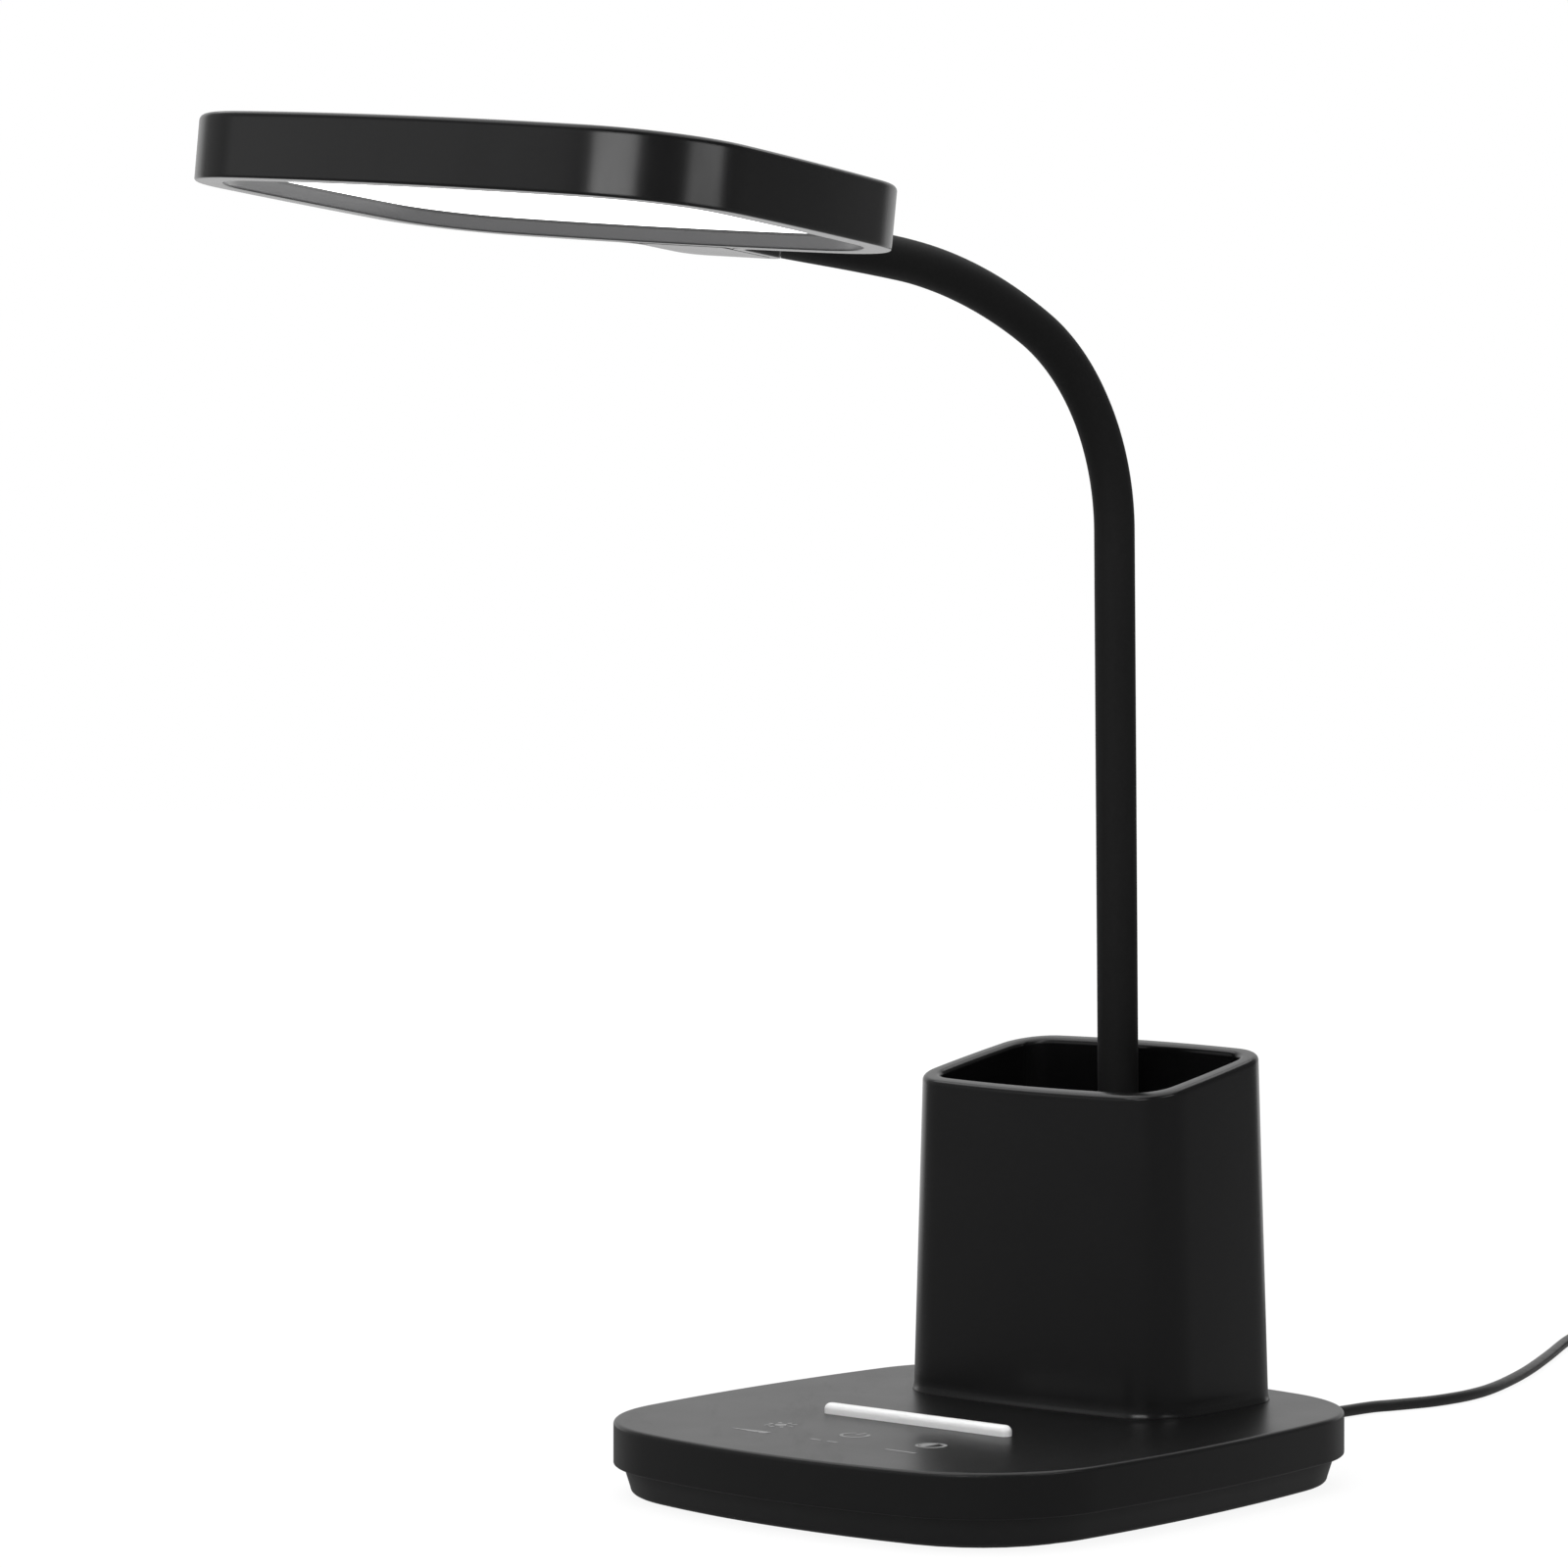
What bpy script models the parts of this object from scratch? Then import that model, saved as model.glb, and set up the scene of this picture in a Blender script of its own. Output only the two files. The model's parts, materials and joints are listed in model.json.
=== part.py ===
# Desk lamp with a pen holder: gooseneck lamp on a weighted base.
# Metres, +Z up, the base's front faces -Y. The origin lies on the desk, under the middle of the base.

import math

import bmesh
import bpy
from mathutils import Matrix, Vector

# Shared clearances and wall rules
SEAT = 0.0003
CUT_OVERRUN = 0.002

# Base: one bulged outline carries the cover, the tray, the ballast and the pad
BASE_WIDTH = 0.176
BASE_LENGTH = 0.201
BASE_SIDE_BULGE = 0.560
BASE_END_BULGE = 0.248
BASE_CORNER = 0.047
BASE_HEIGHT = 0.0224
COVER_DEPTH = 0.0130
COVER_WALL = 0.0024
COVER_EDGE = 0.0012
COVER_FOOT_EDGE = 0.0004
LAP_CLEARANCE = 0.0005
TRAY_WALL = 0.0020
TRAY_TAPER = 0.0021
TRAY_FOOT_ROUND = 0.0015
TRAY_LAP = 0.0055
PAD_THICKNESS = 0.0010
PAD_INSET = 0.0120
BALLAST_THICKNESS = 0.0030
BALLAST_INSET = 0.0125

# Screws of the base and the bosses that they draw together
SCREW_RADIUS = 0.0013
SCREW_HEAD_RADIUS = 0.0026
SCREW_HEAD_HEIGHT = 0.0018
SCREW_BITE = 0.0060
BOSS_RADIUS = 0.0045
BOSS_FROM_SIDE = 0.0260
BOSS_FROM_END = 0.0270

# Raised bar that keeps a phone from sliding forwards
BAR_LENGTH = 0.0700
BAR_DEPTH = 0.0044
BAR_HEIGHT = 0.0028
BAR_EDGE = 0.0010
BAR_FROM_FRONT = 0.0705
BAR_PEG_RADIUS = 0.0012
BAR_PEG_REACH = 0.0020
BAR_PEG_FROM_END = 0.0080

# Touch board with its three pads, and the driver board
TOUCH_FROM_FRONT = 0.0355
TOUCH_PITCH = 0.0280
TOUCH_PAD_RADIUS = 0.0050
TOUCH_PAD_HEIGHT = 0.0030
TOUCH_BOARD_LENGTH = 0.0900
TOUCH_BOARD_DEPTH = 0.0260
BOARD_THICKNESS = 0.0016
STAKE_FROM_END = 0.0040
POST_RADIUS = 0.0030
STAKE_RADIUS = 0.0013
STAKE_HEAD_RADIUS = 0.0022
STAKE_HEAD_HEIGHT = 0.0012
DRIVER_BOARD_LENGTH = 0.0620
DRIVER_BOARD_DEPTH = 0.0400
DRIVER_BOARD_Y = 0.0020
COIL_CORE_RADIUS = 0.0042
CAPACITOR_RADIUS = 0.0030
CHIP_SIDE = 0.0070
CHIP_HEIGHT = 0.0012
SOCKET_WIDTH = 0.0080
SOCKET_DEPTH = 0.0060
PART_HEIGHT = 0.0042

# Pen cup: a drafted, bulged shell with a slanted rim
CUP_WIDTH = 0.1074
CUP_DEPTH = 0.0634
CUP_BULGE = 0.380
CUP_CORNER = 0.0160
CUP_FROM_REAR = 0.0484
CUP_FRONT_HEIGHT = 0.0935
CUP_RISE = 0.0135
CUP_WALL = 0.0030
CUP_FLOOR = 0.0030
CUP_DRAFT = 0.0031
CUP_RIM_ROUND = 0.0009
CUP_FLOOR_ROUND = 0.0030
CUP_FLARE = 0.0005
CUP_FLARE_HEIGHT = 0.0022
CUP_SCREW_X = 0.0300
CUP_SCREW_SETBACK = 0.0080
CUP_SCREW_BITE = 0.0060
CUP_BOSS_RADIUS = 0.0040
COLLAR_WALL = 0.0025
COLLAR_HEIGHT = 0.0080

# Neck: a steel hose in a soft sleeve, along one curve from the base to the head
NECK_BEHIND_CUP = 0.0157
NECK_DIAMETER = 0.0126
HOSE_DIAMETER = 0.0084
SLEEVE_WALL = 0.0018
NECK_STRAIGHT = 0.2650
NECK_FIRST_RADIUS = 0.0655
NECK_SECOND_RADIUS = 0.1800
NECK_LAST_RADIUS = 1.3400
NECK_LEAN = math.radians(0.62)
NECK_FIRST_ANGLE = math.radians(66.0)
NECK_SECOND_ANGLE = math.radians(87.2)
NECK_LAST_ANGLE = math.radians(90.3)
NECK_TURN_LENGTH = 0.0400
HEAD_YAW = 0.218
FLEX_LENGTH = 0.0240
NECK_RING_STEP = 0.0090
NECK_SIDES = 14
HOSE_SIDES = 10
# Where the neck flexes, as shares of its length: sway, lean, bend, turn and nod
flex_place_share = (0.30, 0.44, 0.63, 0.80, 0.925)

# Clamping of the neck under the base cover
NIPPLE_RADIUS = 0.0050
NIPPLE_REACH = 0.0090
NIPPLE_FLANGE_RADIUS = 0.0055
NIPPLE_FLANGE_HEIGHT = 0.0020
WASHER_RADIUS = 0.0090
WASHER_THICKNESS = 0.0012
NUT_ACROSS_FLATS = 0.0140
NUT_HEIGHT = 0.0050

# Lamp head: a bulged plan with a tongue at its rear
HEAD_WIDTH = 0.1584
HEAD_DEPTH = 0.1420
HEAD_SIDE_BULGE = 0.798
HEAD_END_BULGE = 0.302
HEAD_CORNER = 0.0336
HEAD_THICKNESS = 0.0167
HEAD_WALL = 0.0032
HEAD_ROOF = 0.0028
HEAD_EDGE = 0.0015
HEAD_LIP_EDGE = 0.0003
HEAD_PITCH = 0.0045
HEAD_ROLL = 0.1097
TONGUE_WIDTH = 0.0330
TONGUE_LENGTH = 0.0280
TONGUE_CORNER = 0.0070
TONGUE_ROOT = 0.0050
TONGUE_COVER_THICKNESS = 0.0020
TONGUE_LIP_HEIGHT = 0.0052

# What the head holds
RECESS_DEPTH = 0.0044
SHADOW_GAP = 0.0030
DIFFUSER_THICKNESS = 0.0020
DIFFUSER_EDGE = 0.0003
FRAME_WIDTH = 0.0055
STRIP_THICKNESS = 0.0008
LED_DEPTH = 0.0009
LED_COUNT = 12
LED_WIDTH = 0.0035
STRIP_MARGIN = 0.0003
GUIDE_THICKNESS = 0.0030
REFLECTOR_THICKNESS = 0.0005
SPREADER_THICKNESS = 0.0012
ANCHOR_WIDTH = 0.0220
ANCHOR_LENGTH = 0.0110
ANCHOR_BASE_GAP = 0.0008
ANCHOR_FROM_WALL = 0.0012
ANCHOR_SCREW_X = 0.0080
ANCHOR_SCREW_BITE = 0.0016

# Supply cord with its strain relief, its coil and its plug
CORD_DIAMETER = 0.0038
RELIEF_Z = 0.0099
RELIEF_LENGTH = 0.0220
RELIEF_NECK_RADIUS = 0.0032
RELIEF_FLANGE_RADIUS = 0.0052
RELIEF_FLANGE_THICKNESS = 0.0016
RELIEF_COLLAR_RADIUS = 0.0045
RELIEF_COLLAR_LENGTH = 0.0020
RELIEF_ROOT_RADIUS = 0.0039
RELIEF_TIP_RADIUS = 0.0025
RELIEF_RIB_STEP = 0.0004
RELIEF_RIBS = 4
COIL_X = -0.0175
COIL_FROM_REAR = 0.3395
COIL_OUTER_RADIUS = 0.0275
COIL_STEP = 0.0043
COIL_TURNS = 3
COIL_TOP_TURNS = 2.5
COIL_POINTS = 24
TIE_THICKNESS = 0.0006
TIE_WIDTH = 0.0030
PLUG_WIDTH = 0.0155
PLUG_THICKNESS = 0.0078
PLUG_LENGTH = 0.0210
PLUG_CORNER = 0.0030
PLUG_NECK_LENGTH = 0.0080
PLUG_NECK_RADIUS = 0.0030
SHELL_WIDTH = 0.0120
SHELL_THICKNESS = 0.0045
SHELL_LENGTH = 0.0120
SHELL_WALL = 0.0004
SHELL_CORNER = 0.0006
CONTACT_THICKNESS = 0.0016
CONTACT_MARGIN = 0.0010
# Routes of the cord's free stretches, chosen by hand, with y counted from the base's rear edge
CORD_ROUTE = (
    (0.0000, 0.0226, 0.0099), (0.0000, 0.0295, 0.0099), (0.0000, 0.0385, 0.0086),
    (0.0001, 0.0495, 0.0056), (0.0002, 0.0615, 0.0031), (0.0004, 0.0745, 0.0021),
    (0.0008, 0.0885, 0.0019), (0.0023, 0.1023, 0.0019), (0.0050, 0.1100, 0.0019),
    (0.0076, 0.1178, 0.0019), (0.0100, 0.1261, 0.0019), (0.0113, 0.1360, 0.0019),
    (0.0115, 0.1478, 0.0019), (0.0093, 0.1635, 0.0019), (0.0033, 0.1857, 0.0019),
    (-0.0061, 0.2136, 0.0019), (-0.0203, 0.2498, 0.0019), (-0.0337, 0.2820, 0.0019),
    (-0.0402, 0.3000, 0.0020), (-0.0440, 0.3165, 0.0025), (-0.0450, 0.3275, 0.0028),
    (-0.0450, 0.3354, 0.0028),
)
TAIL_ROUTE = (
    (-0.04285, 0.3436, 0.0071), (-0.04285, 0.3475, 0.0071), (-0.0427, 0.3555, 0.0067),
    (-0.0425, 0.3635, 0.0054), (-0.0424, 0.3705, 0.0042), (-0.0424, 0.3775, 0.0039),
    (-0.0424, 0.3815, 0.0039),
)

# Places and heights that the sizes above fix
BASE_FRONT = -BASE_LENGTH / 2
BASE_REAR = BASE_LENGTH / 2
BAR_Y = BASE_FRONT + BAR_FROM_FRONT
TOUCH_Y = BASE_FRONT + TOUCH_FROM_FRONT
CUP_Y = BASE_REAR - CUP_FROM_REAR
CUP_SCREW_Y = CUP_Y - CUP_SCREW_SETBACK
NECK_Y = CUP_Y + NECK_BEHIND_CUP
COIL_Y = BASE_REAR + COIL_FROM_REAR
TRAY_BOTTOM = PAD_THICKNESS + SEAT
TRAY_FLOOR = TRAY_BOTTOM + TRAY_WALL
COVER_FOOT = BASE_HEIGHT - COVER_DEPTH
COVER_CEILING = BASE_HEIGHT - COVER_WALL
TRAY_TOP = COVER_FOOT + TRAY_LAP
TRAY_SETBACK = COVER_WALL + LAP_CLEARANCE
CUP_FOOT = BASE_HEIGHT + SEAT
HEAD_CEILING = HEAD_THICKNESS - HEAD_ROOF
CIRCLE_SIDES = 16
SMALL_SIDES = 8
BOSS_SIDES = 12
ROUND_STEPS = 2


for old in list(bpy.data.objects):
    bpy.data.objects.remove(old, do_unlink=True)


# Materials

def finish(name, colour, roughness, metallic=0.0):
    material = bpy.data.materials.new(name)
    material.use_nodes = True
    shader = material.node_tree.nodes["Principled BSDF"]
    shader.inputs["Base Color"].default_value = (*colour, 1.0)
    shader.inputs["Roughness"].default_value = roughness
    shader.inputs["Metallic"].default_value = metallic
    return material


BLACK = (0.012, 0.012, 0.013)
WHITE = (0.86, 0.86, 0.86)
STEEL = (0.55, 0.55, 0.57)
BOARD_GREEN = (0.03, 0.16, 0.07)


# Outlines: lists of (x, y) that run anticlockwise

def arc(centre, radius, start, end, steps):
    points = []
    for step in range(steps + 1):
        angle = start + (end - start) * step / steps
        points.append((centre[0] + radius * math.cos(angle), centre[1] + radius * math.sin(angle)))
    return points


def corner_centre(half_x, half_y, side_radius, end_radius, corner_radius):
    """Centre of the corner arc that touches the side bulge and the end bulge from inside."""
    side = Vector((half_x - side_radius, 0.0))
    end = Vector((0.0, half_y - end_radius))
    side_reach = side_radius - corner_radius
    end_reach = end_radius - corner_radius
    between = end - side
    distance = between.length
    along = (side_reach ** 2 - end_reach ** 2 + distance ** 2) / (2 * distance)
    across = math.sqrt(max(side_reach ** 2 - along ** 2, 0.0))
    direction = between / distance
    return side + direction * along + Vector((-direction.y, direction.x)) * across


def mirrored(quarter):
    """A whole outline from its first quarter, which runs from the +X side to the +Y end."""
    left = [(-x, y) for x, y in reversed(quarter[:-1])]
    back = quarter + left
    front = [(x, -y) for x, y in reversed(back[1:-1])]
    return back + front


def bulged_quarter(width, depth, side_radius, end_radius, corner_radius, side_steps, corner_steps):
    half_x = width / 2
    half_y = depth / 2
    centre = corner_centre(half_x, half_y, side_radius, end_radius, corner_radius)
    side_angle = math.atan2(centre.y, centre.x - (half_x - side_radius))
    end_angle = math.atan2(centre.y - (half_y - end_radius), centre.x)
    side = arc((half_x - side_radius, 0.0), side_radius, 0.0, side_angle, side_steps)
    corner = arc(centre, corner_radius, side_angle, end_angle, corner_steps)
    end = arc((0.0, half_y - end_radius), end_radius, end_angle, math.pi / 2, side_steps)
    return side + corner[1:] + end[1:]


def rounded_rectangle(width, depth, radius, steps):
    half_x = width / 2 - radius
    half_y = depth / 2 - radius
    points = []
    for turn, (sign_x, sign_y) in enumerate(((1, 1), (-1, 1), (-1, -1), (1, -1))):
        start = turn * math.pi / 2
        points += arc((sign_x * half_x, sign_y * half_y), radius, start, start + math.pi / 2, steps)
    return points


def circle(radius, centre=(0.0, 0.0), sides=CIRCLE_SIDES):
    return arc(centre, radius, 0.0, 2 * math.pi, sides)[:-1]


def inset(outline, distance):
    """The outline moved inwards by a distance, or outwards by a negative one, with mitred corners."""
    moved = []
    count = len(outline)
    for index in range(count):
        before = Vector(outline[index - 1])
        here = Vector(outline[index])
        after = Vector(outline[(index + 1) % count])
        first = (here - before).normalized()
        second = (after - here).normalized()
        normal = Vector((-first.y - second.y, first.x + second.x)).normalized()
        slope = max(normal.dot(Vector((-first.y, first.x))), 0.5)
        moved.append(tuple(here + normal * (distance / slope)))
    return moved


def shifted(outline, x, y):
    return [(px + x, py + y) for px, py in outline]


def at(outline, height):
    return [Vector((x, y, height)) for x, y in outline]


# Solids

def skin(mesh, rings, closed=False):
    """Joins rings of points by faces. Open ends get caps; a closed run joins its last ring to its first."""
    vertices = [[mesh.verts.new(point) for point in ring] for ring in rings]
    pairs = list(zip(vertices, vertices[1:]))
    if closed:
        pairs.append((vertices[-1], vertices[0]))
    for lower, upper in pairs:
        for index in range(len(lower)):
            following = (index + 1) % len(lower)
            mesh.faces.new((lower[index], lower[following], upper[following], upper[index]))
    if not closed:
        mesh.faces.new(list(reversed(vertices[0])))
        mesh.faces.new(vertices[-1])


def solid(name, rings, material=None, place=None, closed=False, smooth=True):
    """One object from a run of rings."""
    mesh = bmesh.new()
    skin(mesh, rings, closed)
    bmesh.ops.recalc_face_normals(mesh, faces=mesh.faces)
    data = bpy.data.meshes.new(name)
    mesh.to_mesh(data)
    mesh.free()
    if smooth:
        data.shade_smooth()
        data.set_sharp_from_angle(angle=math.radians(35))
    thing = bpy.data.objects.new(name, data)
    bpy.context.collection.objects.link(thing)
    if material is not None:
        data.materials.append(material)
    if place is not None:
        data.transform(place)
    return thing


def turned_rings(profile, centre=(0.0, 0.0), sides=CIRCLE_SIDES):
    """Rings of a turned solid: the profile lists (radius, height), and its ends get flat caps."""
    return [at(circle(radius, centre, sides), height) for radius, height in profile]


def hide_guide(thing):
    thing.hide_render = True
    thing.display_type = "WIRE"


def combine(target, tool, operation):
    change = target.modifiers.new(operation.lower(), "BOOLEAN")
    change.operation = operation
    change.solver = "EXACT"
    change.object = tool
    hide_guide(tool)


def cut(target, tool):
    combine(target, tool, "DIFFERENCE")


def fuse(target, tool):
    combine(target, tool, "UNION")


def cylinder(name, radius, low, high, centre=(0.0, 0.0), sides=CIRCLE_SIDES, place=None):
    return solid(name, turned_rings([(radius, low), (radius, high)], centre, sides), place=place)


# Outlines of the base, the cup and the head

BASE_OUTLINE = mirrored(bulged_quarter(
    BASE_WIDTH, BASE_LENGTH, BASE_SIDE_BULGE, BASE_END_BULGE, BASE_CORNER, 4, 7))
CUP_OUTLINE = mirrored(bulged_quarter(
    CUP_WIDTH, CUP_DEPTH, CUP_BULGE, CUP_BULGE, CUP_CORNER, 2, 6))
HEAD_QUARTER = bulged_quarter(
    HEAD_WIDTH, HEAD_DEPTH, HEAD_SIDE_BULGE, HEAD_END_BULGE, HEAD_CORNER, 4, 6)
LIGHT_OUTLINE = mirrored(HEAD_QUARTER)


def housing_outline():
    """The head's outline with its tongue: the rear bulge runs into a fillet, a side and a corner."""
    half_tongue = TONGUE_WIDTH / 2
    rear = HEAD_DEPTH / 2 + TONGUE_LENGTH
    bulge_centre = Vector((0.0, HEAD_DEPTH / 2 - HEAD_END_BULGE))
    fillet_x = half_tongue + TONGUE_ROOT
    fillet_y = bulge_centre.y + math.sqrt((HEAD_END_BULGE + TONGUE_ROOT) ** 2 - fillet_x ** 2)
    touch = math.atan2(fillet_y - bulge_centre.y, fillet_x)
    start = touch - math.pi
    fillet = arc((fillet_x, fillet_y), TONGUE_ROOT, start, -math.pi, 3)
    corner = arc((half_tongue - TONGUE_CORNER, rear - TONGUE_CORNER), TONGUE_CORNER, 0.0, math.pi / 2, 4)
    edge = bulge_centre.x + HEAD_END_BULGE * math.cos(touch)
    along_bulge = [point for point in HEAD_QUARTER if point[0] > edge + TONGUE_ROOT]
    quarter = along_bulge + fillet + corner
    left = [(-x, y) for x, y in reversed(quarter[1:])]
    front = [(x, -y) for x, y in reversed(HEAD_QUARTER[1:-1])]
    front_left = [(-x, -y) for x, y in HEAD_QUARTER]
    return quarter + left + front_left + front


HOUSING_OUTLINE = housing_outline()


# Places of the screws

def corners(half_x, half_y):
    return [(x, y) for x in (-half_x, half_x) for y in (-half_y, half_y)]


BASE_SCREWS = corners(BASE_WIDTH / 2 - BOSS_FROM_SIDE, BASE_REAR - BOSS_FROM_END)
CUP_SCREWS = [(-CUP_SCREW_X, CUP_SCREW_Y), (CUP_SCREW_X, CUP_SCREW_Y)]
TOUCH_STAKE_X = TOUCH_BOARD_LENGTH / 2 - STAKE_FROM_END
DRIVER_STAKE_X = DRIVER_BOARD_LENGTH / 2 - STAKE_FROM_END
BOARD_STAKES = [(-TOUCH_STAKE_X, TOUCH_Y), (TOUCH_STAKE_X, TOUCH_Y),
                (-DRIVER_STAKE_X, DRIVER_BOARD_Y), (DRIVER_STAKE_X, DRIVER_BOARD_Y)]
BOARD_TOP = COVER_CEILING - TOUCH_PAD_HEIGHT - 2 * SEAT
BOARD_BOTTOM = BOARD_TOP - BOARD_THICKNESS
BAR_PEG_X = BAR_LENGTH / 2 - BAR_PEG_FROM_END
HOLE_RADIUS = SCREW_RADIUS + SEAT
HEAD_HOLE_RADIUS = SCREW_HEAD_RADIUS + SEAT


def screw(name, place, seat, end, material, turn=None):
    """A pan-head screw that points up: its head lies under the seat, its shank ends at a height."""
    crown = seat - SCREW_HEAD_HEIGHT
    profile = [(SCREW_HEAD_RADIUS, crown), (SCREW_HEAD_RADIUS, seat), (SCREW_RADIUS, seat),
               (SCREW_RADIUS, end)]
    return solid(name, turned_rings(profile, place, SMALL_SIDES), material, turn)


# Base

def anti_slip_pad():
    pad = inset(BASE_OUTLINE, PAD_INSET)
    return solid("anti_slip_pad", [at(pad, 0.0), at(pad, PAD_THICKNESS)],
                 finish("pad_rubber", (0.02, 0.02, 0.02), 0.9))


def relief_hole(name, inner, outer):
    radius = RELIEF_NECK_RADIUS + SEAT
    turn = Matrix.Translation((0.0, 0.0, RELIEF_Z)) @ Matrix.Rotation(-math.pi / 2, 4, "X")
    return cylinder(name, radius, inner, outer, sides=BOSS_SIDES, place=turn)


def base_tray():
    foot = TRAY_SETBACK + TRAY_TAPER
    round_step = TRAY_FOOT_ROUND * (1 - math.cos(math.pi / 4))
    rings = [
        at(inset(BASE_OUTLINE, foot + TRAY_FOOT_ROUND), TRAY_BOTTOM),
        at(inset(BASE_OUTLINE, foot + round_step), TRAY_BOTTOM + round_step),
        at(inset(BASE_OUTLINE, foot), TRAY_BOTTOM + TRAY_FOOT_ROUND),
        at(inset(BASE_OUTLINE, TRAY_SETBACK), COVER_FOOT),
        at(inset(BASE_OUTLINE, TRAY_SETBACK), TRAY_TOP),
        at(inset(BASE_OUTLINE, TRAY_SETBACK + TRAY_WALL), TRAY_TOP),
        at(inset(BASE_OUTLINE, TRAY_SETBACK + TRAY_WALL), COVER_FOOT),
        at(inset(BASE_OUTLINE, foot + TRAY_WALL), TRAY_FLOOR),
    ]
    tray = solid("base_tray", rings, finish("tray_plastic", BLACK, 0.45))
    head_seat = TRAY_BOTTOM + SCREW_HEAD_HEIGHT + 2 * SEAT
    for number, place in enumerate(BASE_SCREWS):
        fuse(tray, cylinder(f"tray_boss_{number}", BOSS_RADIUS, TRAY_FLOOR - SEAT, COVER_FOOT, place,
                            BOSS_SIDES))
        profile = [(HEAD_HOLE_RADIUS, TRAY_BOTTOM - CUT_OVERRUN), (HEAD_HOLE_RADIUS, head_seat),
                   (HOLE_RADIUS, head_seat), (HOLE_RADIUS, COVER_FOOT + CUT_OVERRUN)]
        cut(tray, solid(f"tray_hole_{number}", turned_rings(profile, place, SMALL_SIDES)))
    inner = BASE_REAR - TRAY_SETBACK - TRAY_TAPER - TRAY_WALL - CUT_OVERRUN
    cut(tray, relief_hole("tray_cord_hole", inner, BASE_REAR))
    return tray


def ballast_plate():
    outline = inset(BASE_OUTLINE, BALLAST_INSET)
    low = TRAY_FLOOR + SEAT
    plate = solid("ballast_plate", [at(outline, low), at(outline, low + BALLAST_THICKNESS)],
                  finish("ballast_steel", STEEL, 0.5, 1.0))
    for number, place in enumerate(BASE_SCREWS):
        hole = cylinder(f"ballast_hole_{number}", BOSS_RADIUS + SEAT, low - CUT_OVERRUN,
                        low + BALLAST_THICKNESS + CUT_OVERRUN, place, BOSS_SIDES)
        cut(plate, hole)
    return plate


def base_screws():
    seat = TRAY_BOTTOM + SCREW_HEAD_HEIGHT + SEAT
    end = COVER_FOOT + SEAT + SCREW_BITE
    steel = finish("screw_steel", STEEL, 0.35, 1.0)
    return [screw(f"base_screw_{number + 1}", place, seat, end, steel)
            for number, place in enumerate(BASE_SCREWS)]


def base_cover():
    rings = [
        at(inset(BASE_OUTLINE, COVER_WALL), COVER_CEILING),
        at(inset(BASE_OUTLINE, COVER_WALL), COVER_FOOT + SEAT),
        at(inset(BASE_OUTLINE, COVER_FOOT_EDGE), COVER_FOOT + SEAT),
        at(BASE_OUTLINE, COVER_FOOT + SEAT + COVER_FOOT_EDGE),
    ]
    for step in range(ROUND_STEPS + 1):
        angle = math.pi / 2 * step / ROUND_STEPS
        rings.append(at(inset(BASE_OUTLINE, COVER_EDGE * (1 - math.cos(angle))),
                        BASE_HEIGHT - COVER_EDGE * (1 - math.sin(angle))))
    cover = solid("base_cover", rings, finish("cover_plastic", BLACK, 0.32))
    low = COVER_FOOT + SEAT
    into_roof = COVER_CEILING + SEAT
    for number, place in enumerate(BASE_SCREWS):
        fuse(cover, cylinder(f"cover_boss_{number}", BOSS_RADIUS, low, into_roof, place, BOSS_SIDES))
        end = low + SCREW_BITE + 2 * SEAT
        cut(cover, cylinder(f"cover_pilot_{number}", HOLE_RADIUS, low - CUT_OVERRUN, end, place,
                            SMALL_SIDES))
    under_board = BOARD_BOTTOM - SEAT
    stake = [(STAKE_HEAD_RADIUS, under_board - STAKE_HEAD_HEIGHT), (STAKE_HEAD_RADIUS, under_board),
             (STAKE_RADIUS, under_board), (STAKE_RADIUS, BOARD_TOP + SEAT),
             (POST_RADIUS, BOARD_TOP + SEAT), (POST_RADIUS, into_roof)]
    for number, place in enumerate(BOARD_STAKES):
        fuse(cover, solid(f"board_stake_{number}", turned_rings(stake, place, BOSS_SIDES)))
    for number, place in enumerate(CUP_SCREWS):
        cut(cover, cylinder(f"cup_screw_hole_{number}", HOLE_RADIUS, COVER_CEILING - CUT_OVERRUN,
                            BASE_HEIGHT + CUT_OVERRUN, place, SMALL_SIDES))
    for number, x in enumerate((-BAR_PEG_X, BAR_PEG_X)):
        cut(cover, cylinder(f"peg_hole_{number}", BAR_PEG_RADIUS + SEAT, COVER_CEILING - CUT_OVERRUN,
                            BASE_HEIGHT + CUT_OVERRUN, (x, BAR_Y), SMALL_SIDES))
    cut(cover, cylinder("nipple_hole", NIPPLE_RADIUS + SEAT, COVER_CEILING - CUT_OVERRUN,
                        BASE_HEIGHT + CUT_OVERRUN, (0.0, NECK_Y)))
    inner = BASE_REAR - COVER_WALL - CUT_OVERRUN
    cut(cover, relief_hole("cover_cord_hole", inner, BASE_REAR + CUT_OVERRUN))
    return cover


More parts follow.
